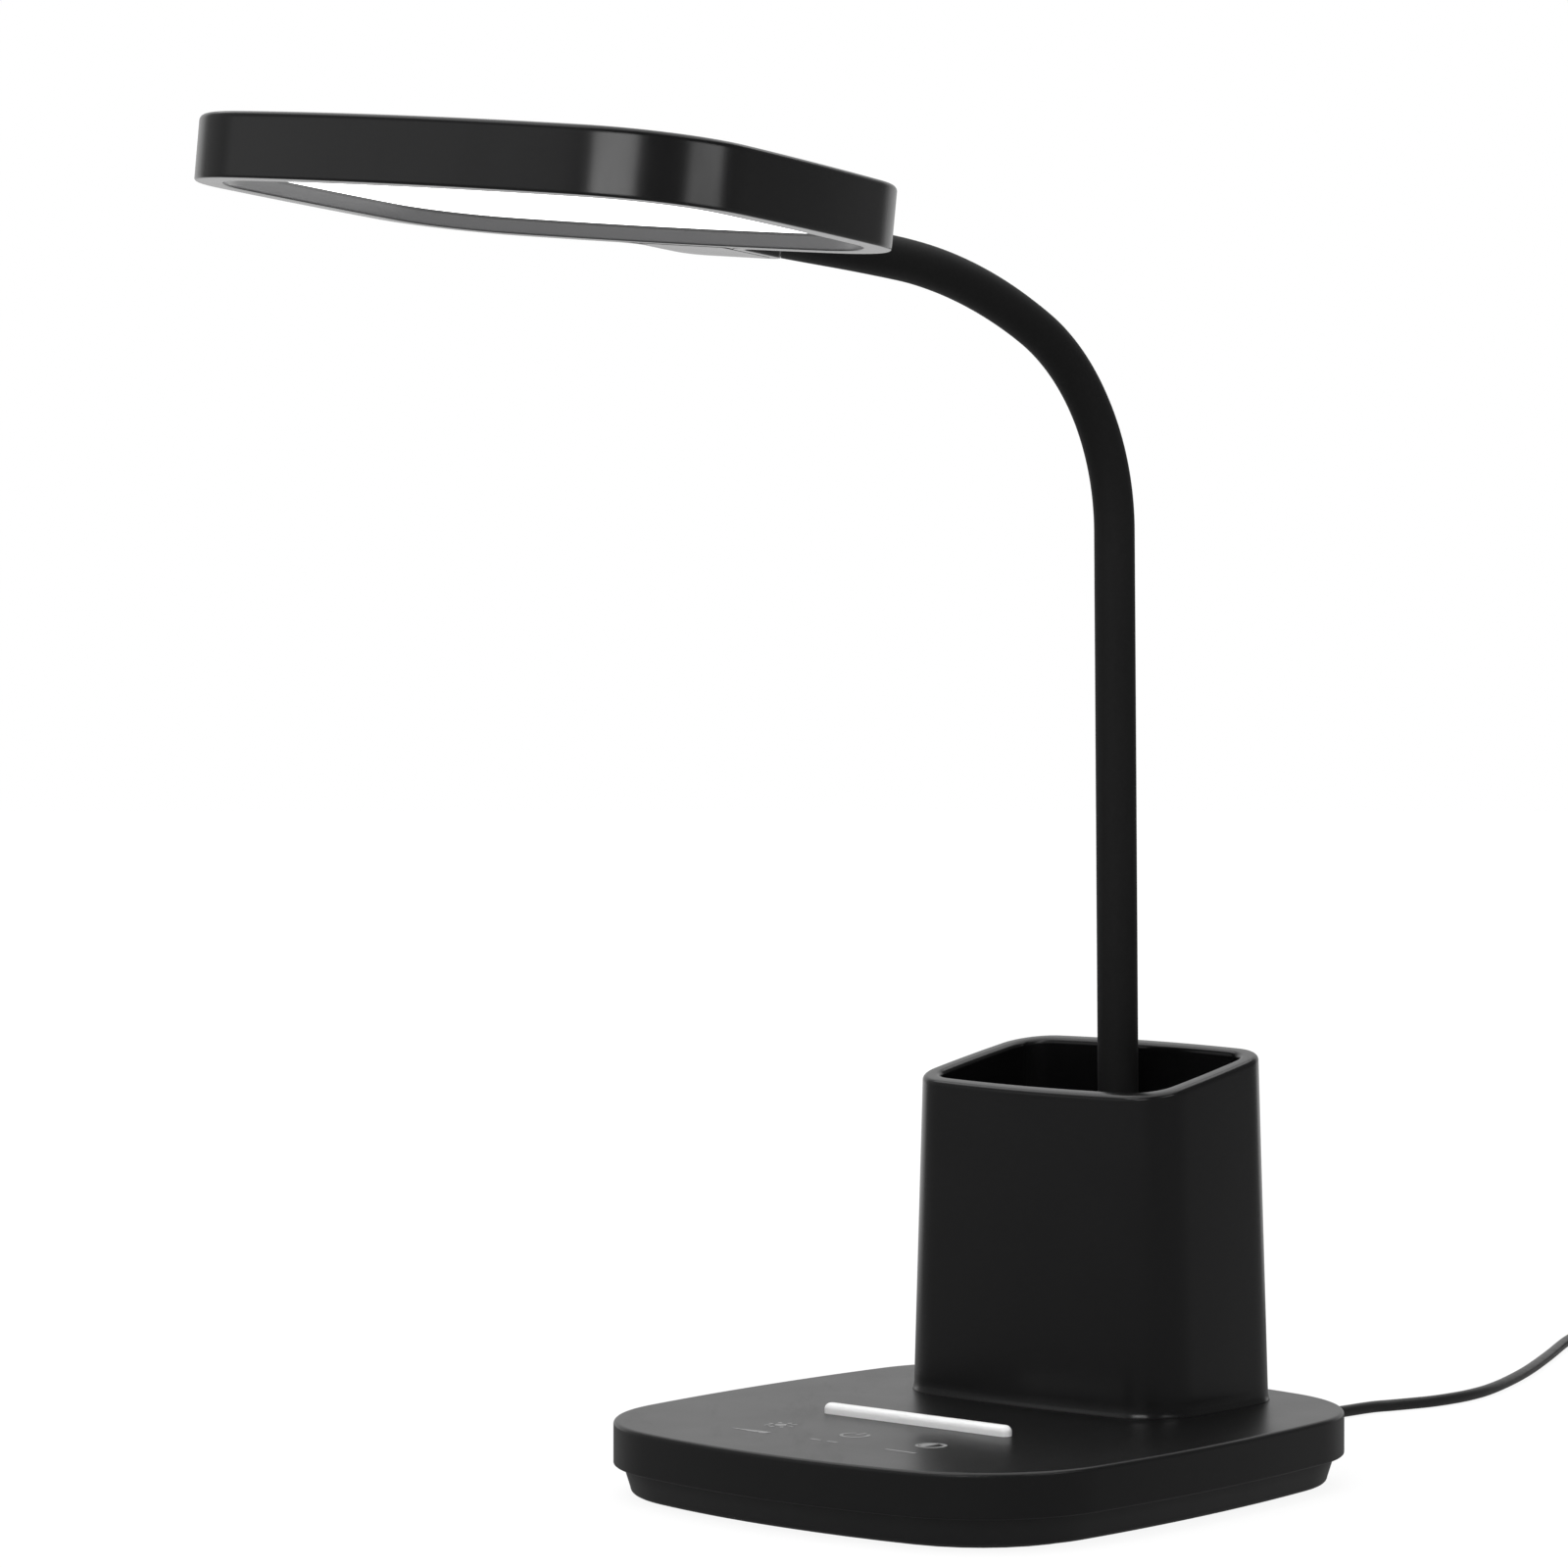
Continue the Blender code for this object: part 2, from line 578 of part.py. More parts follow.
def phone_rest_bar():
    outline = shifted(rounded_rectangle(BAR_LENGTH, BAR_DEPTH, BAR_DEPTH / 2 - SEAT, 4), 0.0, BAR_Y)
    top = BASE_HEIGHT + SEAT + BAR_HEIGHT
    rings = [at(outline, BASE_HEIGHT + SEAT)]
    for step in range(ROUND_STEPS + 1):
        angle = math.pi / 2 * step / ROUND_STEPS
        rings.append(at(inset(outline, BAR_EDGE * (1 - math.cos(angle))),
                        top - BAR_EDGE * (1 - math.sin(angle))))
    bar = solid("phone_rest_bar", rings, finish("bar_satin_chrome", (0.80, 0.80, 0.81), 0.28, 1.0))
    for number, x in enumerate((-BAR_PEG_X, BAR_PEG_X)):
        fuse(bar, cylinder(f"bar_peg_{number}", BAR_PEG_RADIUS, COVER_CEILING - BAR_PEG_REACH,
                           BASE_HEIGHT + BAR_HEIGHT / 2, (x, BAR_Y), SMALL_SIDES))
    return bar


def drilled_board(name, length, depth, y, stake_x):
    outline = shifted(rounded_rectangle(length, depth, BOARD_THICKNESS, 2), 0.0, y)
    board = solid(name, [at(outline, BOARD_BOTTOM), at(outline, BOARD_TOP)],
                  finish(name + "_laminate", BOARD_GREEN, 0.5))
    for number, x in enumerate((-stake_x, stake_x)):
        cut(board, cylinder(f"{name}_hole_{number}", STAKE_RADIUS + SEAT, BOARD_BOTTOM - CUT_OVERRUN,
                            BOARD_TOP + CUT_OVERRUN, (x, y), SMALL_SIDES))
    return board


def touch_board():
    return drilled_board("touch_board", TOUCH_BOARD_LENGTH, TOUCH_BOARD_DEPTH, TOUCH_Y, TOUCH_STAKE_X)


def touch_pads():
    foam = finish("pad_foam", (0.08, 0.08, 0.08), 0.95)
    profile = [(TOUCH_PAD_RADIUS, BOARD_TOP + SEAT), (TOUCH_PAD_RADIUS, COVER_CEILING - SEAT)]
    pads = []
    for side, name in ((-1, "left"), (0, "middle"), (1, "right")):
        rings = turned_rings(profile, (side * TOUCH_PITCH, TOUCH_Y), BOSS_SIDES)
        pads.append(solid("touch_pad_" + name, rings, foam))
    return pads


def driver_board():
    board = drilled_board("driver_board", DRIVER_BOARD_LENGTH, DRIVER_BOARD_DEPTH, DRIVER_BOARD_Y,
                          DRIVER_STAKE_X)
    low = BOARD_BOTTOM - PART_HEIGHT
    into_board = BOARD_BOTTOM + SEAT
    column = DRIVER_BOARD_LENGTH / 5
    row = DRIVER_BOARD_DEPTH / 4
    fuse(board, cylinder("driver_choke", COIL_CORE_RADIUS, low, into_board,
                         (-column, DRIVER_BOARD_Y + row), BOSS_SIDES))
    for number, x in enumerate((0.0, column)):
        fuse(board, cylinder(f"driver_capacitor_{number}", CAPACITOR_RADIUS, low, into_board,
                             (x, DRIVER_BOARD_Y + row), BOSS_SIDES))
    chip = shifted(rounded_rectangle(CHIP_SIDE, CHIP_SIDE, SEAT, 1), 0.0, DRIVER_BOARD_Y - row)
    fuse(board, solid("driver_chip", [at(chip, BOARD_BOTTOM - CHIP_HEIGHT), at(chip, into_board)]))
    for number, x in enumerate((-column, column)):
        socket = shifted(rounded_rectangle(SOCKET_WIDTH, SOCKET_DEPTH, SEAT, 1), x, DRIVER_BOARD_Y - row)
        fuse(board, solid(f"driver_socket_{number}", [at(socket, low), at(socket, into_board)]))
    return board


def strain_relief():
    wall_inside = BASE_REAR - TRAY_SETBACK - TRAY_TAPER - TRAY_WALL - SEAT
    outside = BASE_REAR + SEAT
    profile = [
        (RELIEF_FLANGE_RADIUS, wall_inside - RELIEF_FLANGE_THICKNESS),
        (RELIEF_FLANGE_RADIUS, wall_inside),
        (RELIEF_NECK_RADIUS, wall_inside),
        (RELIEF_NECK_RADIUS, outside),
        (RELIEF_COLLAR_RADIUS, outside),
        (RELIEF_COLLAR_RADIUS, outside + RELIEF_COLLAR_LENGTH),
    ]
    first = outside + RELIEF_COLLAR_LENGTH
    pitch = (RELIEF_LENGTH - RELIEF_COLLAR_LENGTH) / RELIEF_RIBS
    for rib in range(RELIEF_RIBS):
        near = RELIEF_ROOT_RADIUS + (RELIEF_TIP_RADIUS - RELIEF_ROOT_RADIUS) * rib / RELIEF_RIBS
        far = RELIEF_ROOT_RADIUS + (RELIEF_TIP_RADIUS - RELIEF_ROOT_RADIUS) * (rib + 1) / RELIEF_RIBS
        start = first + pitch * rib
        profile += [(near - RELIEF_RIB_STEP, start), (near - RELIEF_RIB_STEP, start + pitch / 3),
                    (near, start + pitch / 3), (far, start + pitch)]
    turn = Matrix.Translation((0.0, 0.0, RELIEF_Z)) @ Matrix.Rotation(-math.pi / 2, 4, "X")
    return solid("strain_relief", turned_rings(profile, sides=BOSS_SIDES),
                 finish("relief_rubber", BLACK, 0.6), place=turn)


# Pen cup

def cup_rim_height(y):
    share = (y - (CUP_Y - CUP_DEPTH / 2)) / CUP_DEPTH
    return BASE_HEIGHT + CUP_FRONT_HEIGHT + CUP_RISE * share


def cup_ring(distance, below_rim):
    outline = shifted(inset(CUP_OUTLINE, distance), 0.0, CUP_Y)
    return [Vector((x, y, cup_rim_height(y) - below_rim)) for x, y in outline]


def cup_level(distance, height):
    return at(shifted(inset(CUP_OUTLINE, distance), 0.0, CUP_Y), height)


def pen_cup():
    floor = CUP_FOOT + CUP_FLOOR
    middle = (CUP_FOOT + BASE_HEIGHT + CUP_FRONT_HEIGHT) / 2
    rings = [cup_level(-CUP_FLARE, CUP_FOOT),
             cup_level(0.0, CUP_FOOT + CUP_FLARE_HEIGHT),
             cup_level(CUP_DRAFT / 2, middle)]
    rim_centre = CUP_DRAFT + CUP_RIM_ROUND
    for step in range(ROUND_STEPS + 1):
        angle = math.pi / 2 * step / ROUND_STEPS
        rings.append(cup_ring(rim_centre - CUP_RIM_ROUND * math.cos(angle),
                              CUP_RIM_ROUND * (1 - math.sin(angle))))
    inside_rim = CUP_DRAFT + CUP_WALL
    for step in range(ROUND_STEPS + 1):
        angle = math.pi / 2 * step / ROUND_STEPS
        rings.append(cup_ring(inside_rim - CUP_RIM_ROUND * (1 - math.sin(angle)),
                              CUP_RIM_ROUND * (1 - math.cos(angle))))
    rings.append(cup_level(CUP_WALL + CUP_DRAFT / 2, middle))
    for step in range(ROUND_STEPS + 1):
        angle = math.pi / 2 * step / ROUND_STEPS
        rings.append(cup_level(CUP_WALL + CUP_FLOOR_ROUND * (1 - math.cos(angle)),
                               floor + CUP_FLOOR_ROUND * (1 - math.sin(angle))))
    cup = solid("pen_cup", rings, finish("cup_plastic", BLACK, 0.34))
    into_floor = floor - SEAT
    collar_radius = NECK_DIAMETER / 2 + SEAT + COLLAR_WALL
    neck_place = (0.0, NECK_Y)
    fuse(cup, cylinder("cup_collar", collar_radius, into_floor, floor + COLLAR_HEIGHT, neck_place))
    cut(cup, cylinder("cup_neck_bore", NECK_DIAMETER / 2 + SEAT, CUP_FOOT - CUT_OVERRUN,
                      floor + COLLAR_HEIGHT + CUT_OVERRUN, neck_place, NECK_SIDES))
    screw_end = CUP_FOOT + CUP_SCREW_BITE
    for number, place in enumerate(CUP_SCREWS):
        fuse(cup, cylinder(f"cup_boss_{number}", CUP_BOSS_RADIUS, into_floor,
                           screw_end + SCREW_RADIUS, place, BOSS_SIDES))
        cut(cup, cylinder(f"cup_pilot_{number}", HOLE_RADIUS, CUP_FOOT - CUT_OVERRUN, screw_end + SEAT,
                          place, SMALL_SIDES))
    return cup


def cup_screws():
    seat = COVER_CEILING - SEAT
    steel = finish("cup_screw_steel", STEEL, 0.35, 1.0)
    return [screw(f"cup_screw_{number + 1}", place, seat, CUP_FOOT + CUP_SCREW_BITE, steel)
            for number, place in enumerate(CUP_SCREWS)]


# Neck: its centreline is a straight stretch and three arcs, the last of which also turns sideways

FIRST_END = NECK_STRAIGHT + NECK_FIRST_RADIUS * (NECK_FIRST_ANGLE - NECK_LEAN)
SECOND_END = FIRST_END + NECK_SECOND_RADIUS * (NECK_SECOND_ANGLE - NECK_FIRST_ANGLE)
NECK_LENGTH = SECOND_END + NECK_LAST_RADIUS * (NECK_LAST_ANGLE - NECK_SECOND_ANGLE)
FLEX_PLACES = [NECK_LENGTH * share for share in flex_place_share]
PATH_STEPS = 960


def neck_pitch(along):
    """Angle of the neck from the vertical at a length along it."""
    if along <= NECK_STRAIGHT:
        return NECK_LEAN
    if along <= FIRST_END:
        return NECK_LEAN + (along - NECK_STRAIGHT) / NECK_FIRST_RADIUS
    if along <= SECOND_END:
        return NECK_FIRST_ANGLE + (along - FIRST_END) / NECK_SECOND_RADIUS
    return NECK_SECOND_ANGLE + (min(along, NECK_LENGTH) - SECOND_END) / NECK_LAST_RADIUS


def neck_yaw(along):
    """Sideways heading of the neck at a length along it."""
    start = NECK_LENGTH - NECK_TURN_LENGTH
    share = min(max((along - start) / NECK_TURN_LENGTH, 0.0), 1.0)
    return HEAD_YAW * share


def neck_tangent(along):
    pitch = neck_pitch(along)
    yaw = neck_yaw(along)
    return Vector((math.sin(pitch) * math.sin(yaw), -math.sin(pitch) * math.cos(yaw), math.cos(pitch)))


def neck_side(along):
    yaw = neck_yaw(along)
    return Vector((math.cos(yaw), math.sin(yaw), 0.0))


def neck_points():
    """Points of the centreline, summed up in small steps from the base cover to the tongue."""
    step = NECK_LENGTH / PATH_STEPS
    points = [Vector((0.0, NECK_Y, BASE_HEIGHT))]
    for number in range(PATH_STEPS):
        points.append(points[-1] + neck_tangent(step * (number + 0.5)) * step)
    return points


NECK_POINTS = neck_points()


def neck_point(along):
    if along >= NECK_LENGTH:
        return NECK_POINTS[-1] + neck_tangent(NECK_LENGTH) * (along - NECK_LENGTH)
    position = along / NECK_LENGTH * PATH_STEPS
    index = min(int(position), PATH_STEPS - 1)
    return NECK_POINTS[index].lerp(NECK_POINTS[index + 1], position - index)


def neck_ring(along, radius, sides):
    centre = neck_point(along)
    side = neck_side(along)
    up = side.cross(neck_tangent(along))
    ring = []
    for number in range(sides):
        angle = 2 * math.pi * number / sides
        ring.append(centre + side * (radius * math.cos(angle)) + up * (radius * math.sin(angle)))
    return ring


def stations(start, end):
    """Places of the rings: only the ends on the straight stretch, and one every few millimetres after it."""
    curved_start = max(start, min(NECK_STRAIGHT, end))
    count = max(math.ceil((end - curved_start) / NECK_RING_STEP), 0)
    places = [start]
    if curved_start > start and count:
        places.append(curved_start)
    for number in range(1, count + 1):
        places.append(curved_start + (end - curved_start) * number / count)
    if not count:
        places.append(end)
    return places


def neck_rod(name, start, end, radius, sides, material):
    return solid(name, [neck_ring(along, radius, sides) for along in stations(start, end)], material)


def neck_tube(name, start, end, radius, bore, material):
    places = stations(start, end)
    outer = [neck_ring(along, radius, NECK_SIDES) for along in places]
    inner = [neck_ring(along, bore, NECK_SIDES) for along in reversed(places)]
    return solid(name, outer + inner, material, closed=True)


HOSE_RADIUS = HOSE_DIAMETER / 2
NECK_RADIUS = NECK_DIAMETER / 2
NECK_START = SEAT + NIPPLE_FLANGE_HEIGHT + SEAT
HOSE_END = NECK_LENGTH + HEAD_WALL + ANCHOR_FROM_WALL + ANCHOR_LENGTH + ANCHOR_FROM_WALL
SLEEVE_END = NECK_LENGTH + HEAD_WALL
STRETCH_NAMES = ("foot", "low", "middle", "high", "front", "head")
FLEX_NAMES = ("sway", "lean", "bend", "turn", "nod")


def neck_stretches():
    """The sleeve and the hose in rigid stretches, with a flexing section at each joint."""
    rubber = finish("sleeve_silicone", (0.014, 0.014, 0.014), 0.62)
    hose = finish("hose_steel", STEEL, 0.4, 1.0)
    starts = [NECK_START] + [place + FLEX_LENGTH / 2 + SEAT for place in FLEX_PLACES]
    ends = [place - FLEX_LENGTH / 2 - SEAT for place in FLEX_PLACES]
    pieces = {}
    for number, name in enumerate(STRETCH_NAMES):
        last = number == len(STRETCH_NAMES) - 1
        sleeve_end = SLEEVE_END if last else ends[number]
        hose_end = HOSE_END if last else ends[number]
        pieces["neck_sleeve_" + name] = neck_tube(
            "neck_sleeve_" + name, starts[number], sleeve_end, NECK_RADIUS, NECK_RADIUS - SLEEVE_WALL, rubber)
        pieces["neck_hose_" + name] = neck_rod(
            "neck_hose_" + name, starts[number], hose_end, HOSE_RADIUS, HOSE_SIDES, hose)
    for name, place in zip(FLEX_NAMES, FLEX_PLACES):
        pieces["neck_flex_" + name] = neck_rod(
            "neck_flex_" + name, place - FLEX_LENGTH / 2, place + FLEX_LENGTH / 2, NECK_RADIUS, NECK_SIDES,
            rubber)
    return pieces


def neck_nipple():
    flange = BASE_HEIGHT + SEAT
    profile = [(NIPPLE_RADIUS, COVER_CEILING - NIPPLE_REACH), (NIPPLE_RADIUS, flange),
               (NIPPLE_FLANGE_RADIUS, flange), (NIPPLE_FLANGE_RADIUS, flange + NIPPLE_FLANGE_HEIGHT)]
    return solid("neck_nipple", turned_rings(profile, (0.0, NECK_Y)),
                 finish("nipple_steel", STEEL, 0.3, 1.0))


def ring_solid(name, outer, bore, low, high, material):
    return solid(name, [at(outer, low), at(outer, high), at(bore, high), at(bore, low)], material,
                 closed=True)


def neck_washer():
    high = COVER_CEILING - SEAT
    centre = (0.0, NECK_Y)
    return ring_solid("neck_washer", circle(WASHER_RADIUS, centre), circle(NIPPLE_RADIUS + SEAT, centre),
                      high - WASHER_THICKNESS, high, finish("washer_steel", STEEL, 0.35, 1.0))


def neck_nut():
    sides = 24
    sector = math.pi / 3
    outer = []
    for number in range(sides):
        angle = 2 * math.pi * number / sides
        radius = NUT_ACROSS_FLATS / 2 / math.cos(angle % sector - sector / 2)
        outer.append((radius * math.cos(angle), NECK_Y + radius * math.sin(angle)))
    high = COVER_CEILING - SEAT - WASHER_THICKNESS - SEAT
    bore = circle(NIPPLE_RADIUS + SEAT, (0.0, NECK_Y), sides)
    return ring_solid("neck_nut", outer, bore, high - NUT_HEIGHT, high, finish("nut_steel", STEEL, 0.35, 1.0))


# Lamp head, modelled level about the middle of its underside and then placed at the end of the neck

def head_place():
    turn = (Matrix.Rotation(HEAD_YAW, 4, "Z") @ Matrix.Rotation(HEAD_PITCH, 4, "X")
            @ Matrix.Rotation(HEAD_ROLL, 4, "Y"))
    entry = Vector((0.0, HEAD_DEPTH / 2 + TONGUE_LENGTH, HEAD_THICKNESS / 2))
    return Matrix.Translation(neck_point(NECK_LENGTH) - turn.to_3x3() @ entry) @ turn


HEAD_PLACE = head_place()
TONGUE_END = HEAD_DEPTH / 2 + TONGUE_LENGTH
NECK_AXIS_IN_HEAD = HEAD_PLACE.inverted().to_3x3() @ neck_tangent(NECK_LENGTH)


def along_entry(name, radius, near, far, sides):
    """A cutter along the neck's axis, from a length inside the tongue's rear face to one outside it."""
    entry = Vector((0.0, TONGUE_END, HEAD_THICKNESS / 2))
    turn = NECK_AXIS_IN_HEAD.to_track_quat("Z", "Y").to_matrix().to_4x4()
    place = HEAD_PLACE @ Matrix.Translation(entry) @ turn
    return cylinder(name, radius, -near, far, sides=sides, place=place)


def head_shell():
    rings = [at(inset(HOUSING_OUTLINE, HEAD_WALL), HEAD_CEILING),
             at(inset(HOUSING_OUTLINE, HEAD_WALL), HEAD_LIP_EDGE),
             at(inset(HOUSING_OUTLINE, HEAD_WALL - HEAD_LIP_EDGE), 0.0),
             at(inset(HOUSING_OUTLINE, HEAD_LIP_EDGE), 0.0),
             at(HOUSING_OUTLINE, HEAD_LIP_EDGE)]
    for step in range(ROUND_STEPS + 1):
        angle = math.pi / 2 * step / ROUND_STEPS
        rings.append(at(inset(HOUSING_OUTLINE, HEAD_EDGE * (1 - math.cos(angle))),
                        HEAD_THICKNESS - HEAD_EDGE * (1 - math.sin(angle))))
    shell = solid("head_shell", rings, finish("head_plastic", BLACK, 0.30), place=HEAD_PLACE)
    cut(shell, along_entry("head_neck_bore", NECK_RADIUS + SEAT, CUT_OVERRUN, HEAD_WALL + CUT_OVERRUN,
                           NECK_SIDES))
    for number, x in enumerate((-ANCHOR_SCREW_X, ANCHOR_SCREW_X)):
        cut(shell, cylinder(f"anchor_pilot_{number}", HOLE_RADIUS, HEAD_CEILING - CUT_OVERRUN,
                            HEAD_CEILING + ANCHOR_SCREW_BITE + SEAT, (x, ANCHOR_Y), SMALL_SIDES,
                            HEAD_PLACE))
    return shell


ANCHOR_REAR = TONGUE_END - HEAD_WALL - ANCHOR_FROM_WALL
ANCHOR_Y = ANCHOR_REAR - ANCHOR_LENGTH / 2
ANCHOR_LOW = TONGUE_COVER_THICKNESS + ANCHOR_BASE_GAP
ANCHOR_HIGH = HEAD_CEILING - SEAT
ANCHOR_SEAT = ANCHOR_LOW + SCREW_HEAD_HEIGHT + SEAT


def neck_anchor():
    """Clamp block that holds the end of the hose in the tongue."""
    outline = shifted(rounded_rectangle(ANCHOR_WIDTH, ANCHOR_LENGTH, SCREW_RADIUS, 2), 0.0, ANCHOR_Y)
    block = solid("neck_anchor", [at(outline, ANCHOR_LOW), at(outline, ANCHOR_HIGH)],
                  finish("anchor_plastic", (0.05, 0.05, 0.05), 0.5), place=HEAD_PLACE)
    depth = HEAD_WALL + ANCHOR_FROM_WALL + ANCHOR_LENGTH + CUT_OVERRUN
    cut(block, along_entry("anchor_bore", HOSE_RADIUS + SEAT, -HEAD_WALL, depth, HOSE_SIDES))
    for number, x in enumerate((-ANCHOR_SCREW_X, ANCHOR_SCREW_X)):
        profile = [(HEAD_HOLE_RADIUS, ANCHOR_LOW - CUT_OVERRUN), (HEAD_HOLE_RADIUS, ANCHOR_SEAT),
                   (HOLE_RADIUS, ANCHOR_SEAT), (HOLE_RADIUS, ANCHOR_HIGH + CUT_OVERRUN)]
        cut(block, solid(f"anchor_hole_{number}", turned_rings(profile, (x, ANCHOR_Y), SMALL_SIDES),
                         place=HEAD_PLACE))
    return block


def anchor_screws():
    end = HEAD_CEILING + ANCHOR_SCREW_BITE
    steel = finish("anchor_screw_steel", STEEL, 0.35, 1.0)
    return [screw(f"anchor_screw_{number + 1}", (x, ANCHOR_Y), ANCHOR_SEAT - SEAT, end, steel, HEAD_PLACE)
            for number, x in enumerate((-ANCHOR_SCREW_X, ANCHOR_SCREW_X))]


def tongue_cover():
    """Plate under the tongue, with a lip that closes the light's recess along the head's rear bulge."""
    half = TONGUE_WIDTH / 2 - HEAD_WALL - SEAT
    rear = TONGUE_END - HEAD_WALL - SEAT
    radius = TONGUE_CORNER - HEAD_WALL - SEAT
    bulge_y = HEAD_DEPTH / 2 - HEAD_END_BULGE

    def edge(reach, steps):
        """Points along the rear bulge at a reach from its centre, from left to right."""
        points = []
        for step in range(steps + 1):
            x = -half + 2 * half * step / steps
            points.append((x, bulge_y + math.sqrt(reach ** 2 - x ** 2)))
        return points

    inner = edge(HEAD_END_BULGE - HEAD_WALL, 6)
    outer = edge(HEAD_END_BULGE, 6)
    rear_right = arc((half - radius, rear - radius), radius, 0.0, math.pi / 2, 4)
    rear_left = [(-x, y) for x, y in reversed(rear_right)]
    plate = inner + rear_right + rear_left
    lip = inner + list(reversed(outer))
    cover = solid("tongue_cover", [at(plate, 0.0), at(plate, TONGUE_COVER_THICKNESS)],
                  finish("tongue_plastic", BLACK, 0.30), place=HEAD_PLACE)
    fuse(cover, solid("tongue_lip", [at(lip, TONGUE_COVER_THICKNESS / 2), at(lip, TONGUE_LIP_HEIGHT)],
                      place=HEAD_PLACE))
    return cover


DIFFUSER_TOP = RECESS_DEPTH + DIFFUSER_THICKNESS
STACK_FOOT = DIFFUSER_TOP + SEAT
FRAME_OUTSIDE = HEAD_WALL + SEAT
FRAME_INSIDE = FRAME_OUTSIDE + FRAME_WIDTH
STRIP_OUTSIDE = FRAME_INSIDE + SEAT
STRIP_INSIDE = STRIP_OUTSIDE + STRIP_THICKNESS
GUIDE_EDGE = STRIP_INSIDE + LED_DEPTH + SEAT
REFLECTOR_FOOT = STACK_FOOT + GUIDE_THICKNESS + SEAT
SPREADER_FOOT = REFLECTOR_FOOT + REFLECTOR_THICKNESS + SEAT


def diffuser():
    outline = inset(LIGHT_OUTLINE, HEAD_WALL + SHADOW_GAP)
    rings = [at(inset(outline, DIFFUSER_EDGE), RECESS_DEPTH), at(outline, RECESS_DEPTH + DIFFUSER_EDGE),
             at(outline, DIFFUSER_TOP)]
    return solid("diffuser", rings, finish("diffuser_opal", WHITE, 0.45), place=HEAD_PLACE)


def light_frame():
    outer = inset(LIGHT_OUTLINE, FRAME_OUTSIDE)
    inner = inset(LIGHT_OUTLINE, FRAME_INSIDE)
    frame = solid("light_frame", [at(outer, STACK_FOOT), at(outer, HEAD_CEILING - SEAT),
                                   at(inner, HEAD_CEILING - SEAT), at(inner, STACK_FOOT)],
                  finish("frame_plastic", (0.03, 0.03, 0.03), 0.5), place=HEAD_PLACE, closed=True)
    return frame


def outline_length(outline):
    loop = [Vector(point) for point in outline] + [Vector(outline[0])]
    return sum((after - before).length for before, after in zip(loop, loop[1:]))


def vertex_shares(outline):
    """How far along a closed outline each of its points lies, as shares of its length."""
    total = outline_length(outline)
    walked = 0.0
    shares = []
    for index, point in enumerate(outline):
        shares.append(walked / total)
        following = outline[(index + 1) % len(outline)]
        walked += (Vector(following) - Vector(point)).length
    return shares


def along_outline(outline, share):
    """A point of a closed outline at a share of its length."""
    loop = [Vector(point) for point in outline] + [Vector(outline[0])]
    lengths = [(after - before).length for before, after in zip(loop, loop[1:])]
    left = share * sum(lengths)
    for before, after, length in zip(loop, loop[1:], lengths):
        if left <= length:
            return before.lerp(after, left / length)
        left -= length
    return loop[-1]


def led_strip():
    """Board round the light guide's edge, with its light-emitting chips standing inwards."""
    back, face, chip = [inset(LIGHT_OUTLINE, distance)
                        for distance in (STRIP_OUTSIDE, STRIP_INSIDE, STRIP_INSIDE + LED_DEPTH)]
    width = LED_WIDTH / outline_length(LIGHT_OUTLINE)
    starts = [(number + 0.5) / LED_COUNT - width / 2 for number in range(LED_COUNT)]
    stops = [(share, share, face) for share in vertex_shares(LIGHT_OUTLINE)
             if not any(start < share < start + width for start in starts)]
    spread = width / 8
    for start in starts:
        end = start + width
        stops += [(start, start - spread, face), (start + spread / 8, start + spread, chip),
                  (end - spread / 8, end - spread, chip), (end, end + spread, face)]
    stops.sort(key=lambda stop: stop[1])
    outer = [tuple(along_outline(back, behind)) for _, behind, _ in stops]
    inner = [tuple(along_outline(rim, share)) for share, _, rim in stops]
    low = STACK_FOOT + STRIP_MARGIN
    high = STACK_FOOT + GUIDE_THICKNESS - STRIP_MARGIN
    return solid("led_strip", [at(outer, low), at(outer, high), at(inner, high), at(inner, low)],
                 finish("strip_board", WHITE, 0.5), place=HEAD_PLACE, closed=True, smooth=False)


def sheet_in_frame(name, edge, low, thickness, material):
    outline = inset(LIGHT_OUTLINE, edge)
    return solid(name, [at(outline, low), at(outline, low + thickness)], material, place=HEAD_PLACE)


# Supply cord

def from_rear(point):
    return Vector(point) + Vector((0.0, BASE_REAR, 0.0))


def smooth_route(route, spacing):
    """Points at an even spacing along a smooth curve through the route's own points."""
    fixed = [from_rear(point) for point in route]
    ends = [fixed[0] * 2 - fixed[1]] + fixed + [fixed[-1] * 2 - fixed[-2]]
    fine = []
    steps = 24
    for index in range(1, len(ends) - 2):
        before, here, there, after = ends[index - 1:index + 3]
        for step in range(steps):
            t = step / steps
            fine.append(0.5 * ((2 * here) + (there - before) * t
                               + (2 * before - 5 * here + 4 * there - after) * t ** 2
                               + (3 * here - before - 3 * there + after) * t ** 3))
    fine.append(fixed[-1])
    total = sum((b - a).length for a, b in zip(fine, fine[1:]))
    count = max(round(total / spacing), 1)
    points = [fine[0]]
    walked = 0.0
    target = 1
    for a, b in zip(fine, fine[1:]):
        length = (b - a).length
        while target < count and walked + length >= total * target / count:
            points.append(a.lerp(b, (total * target / count - walked) / length))
            target += 1
        walked += length
    return points + [fine[-1]]


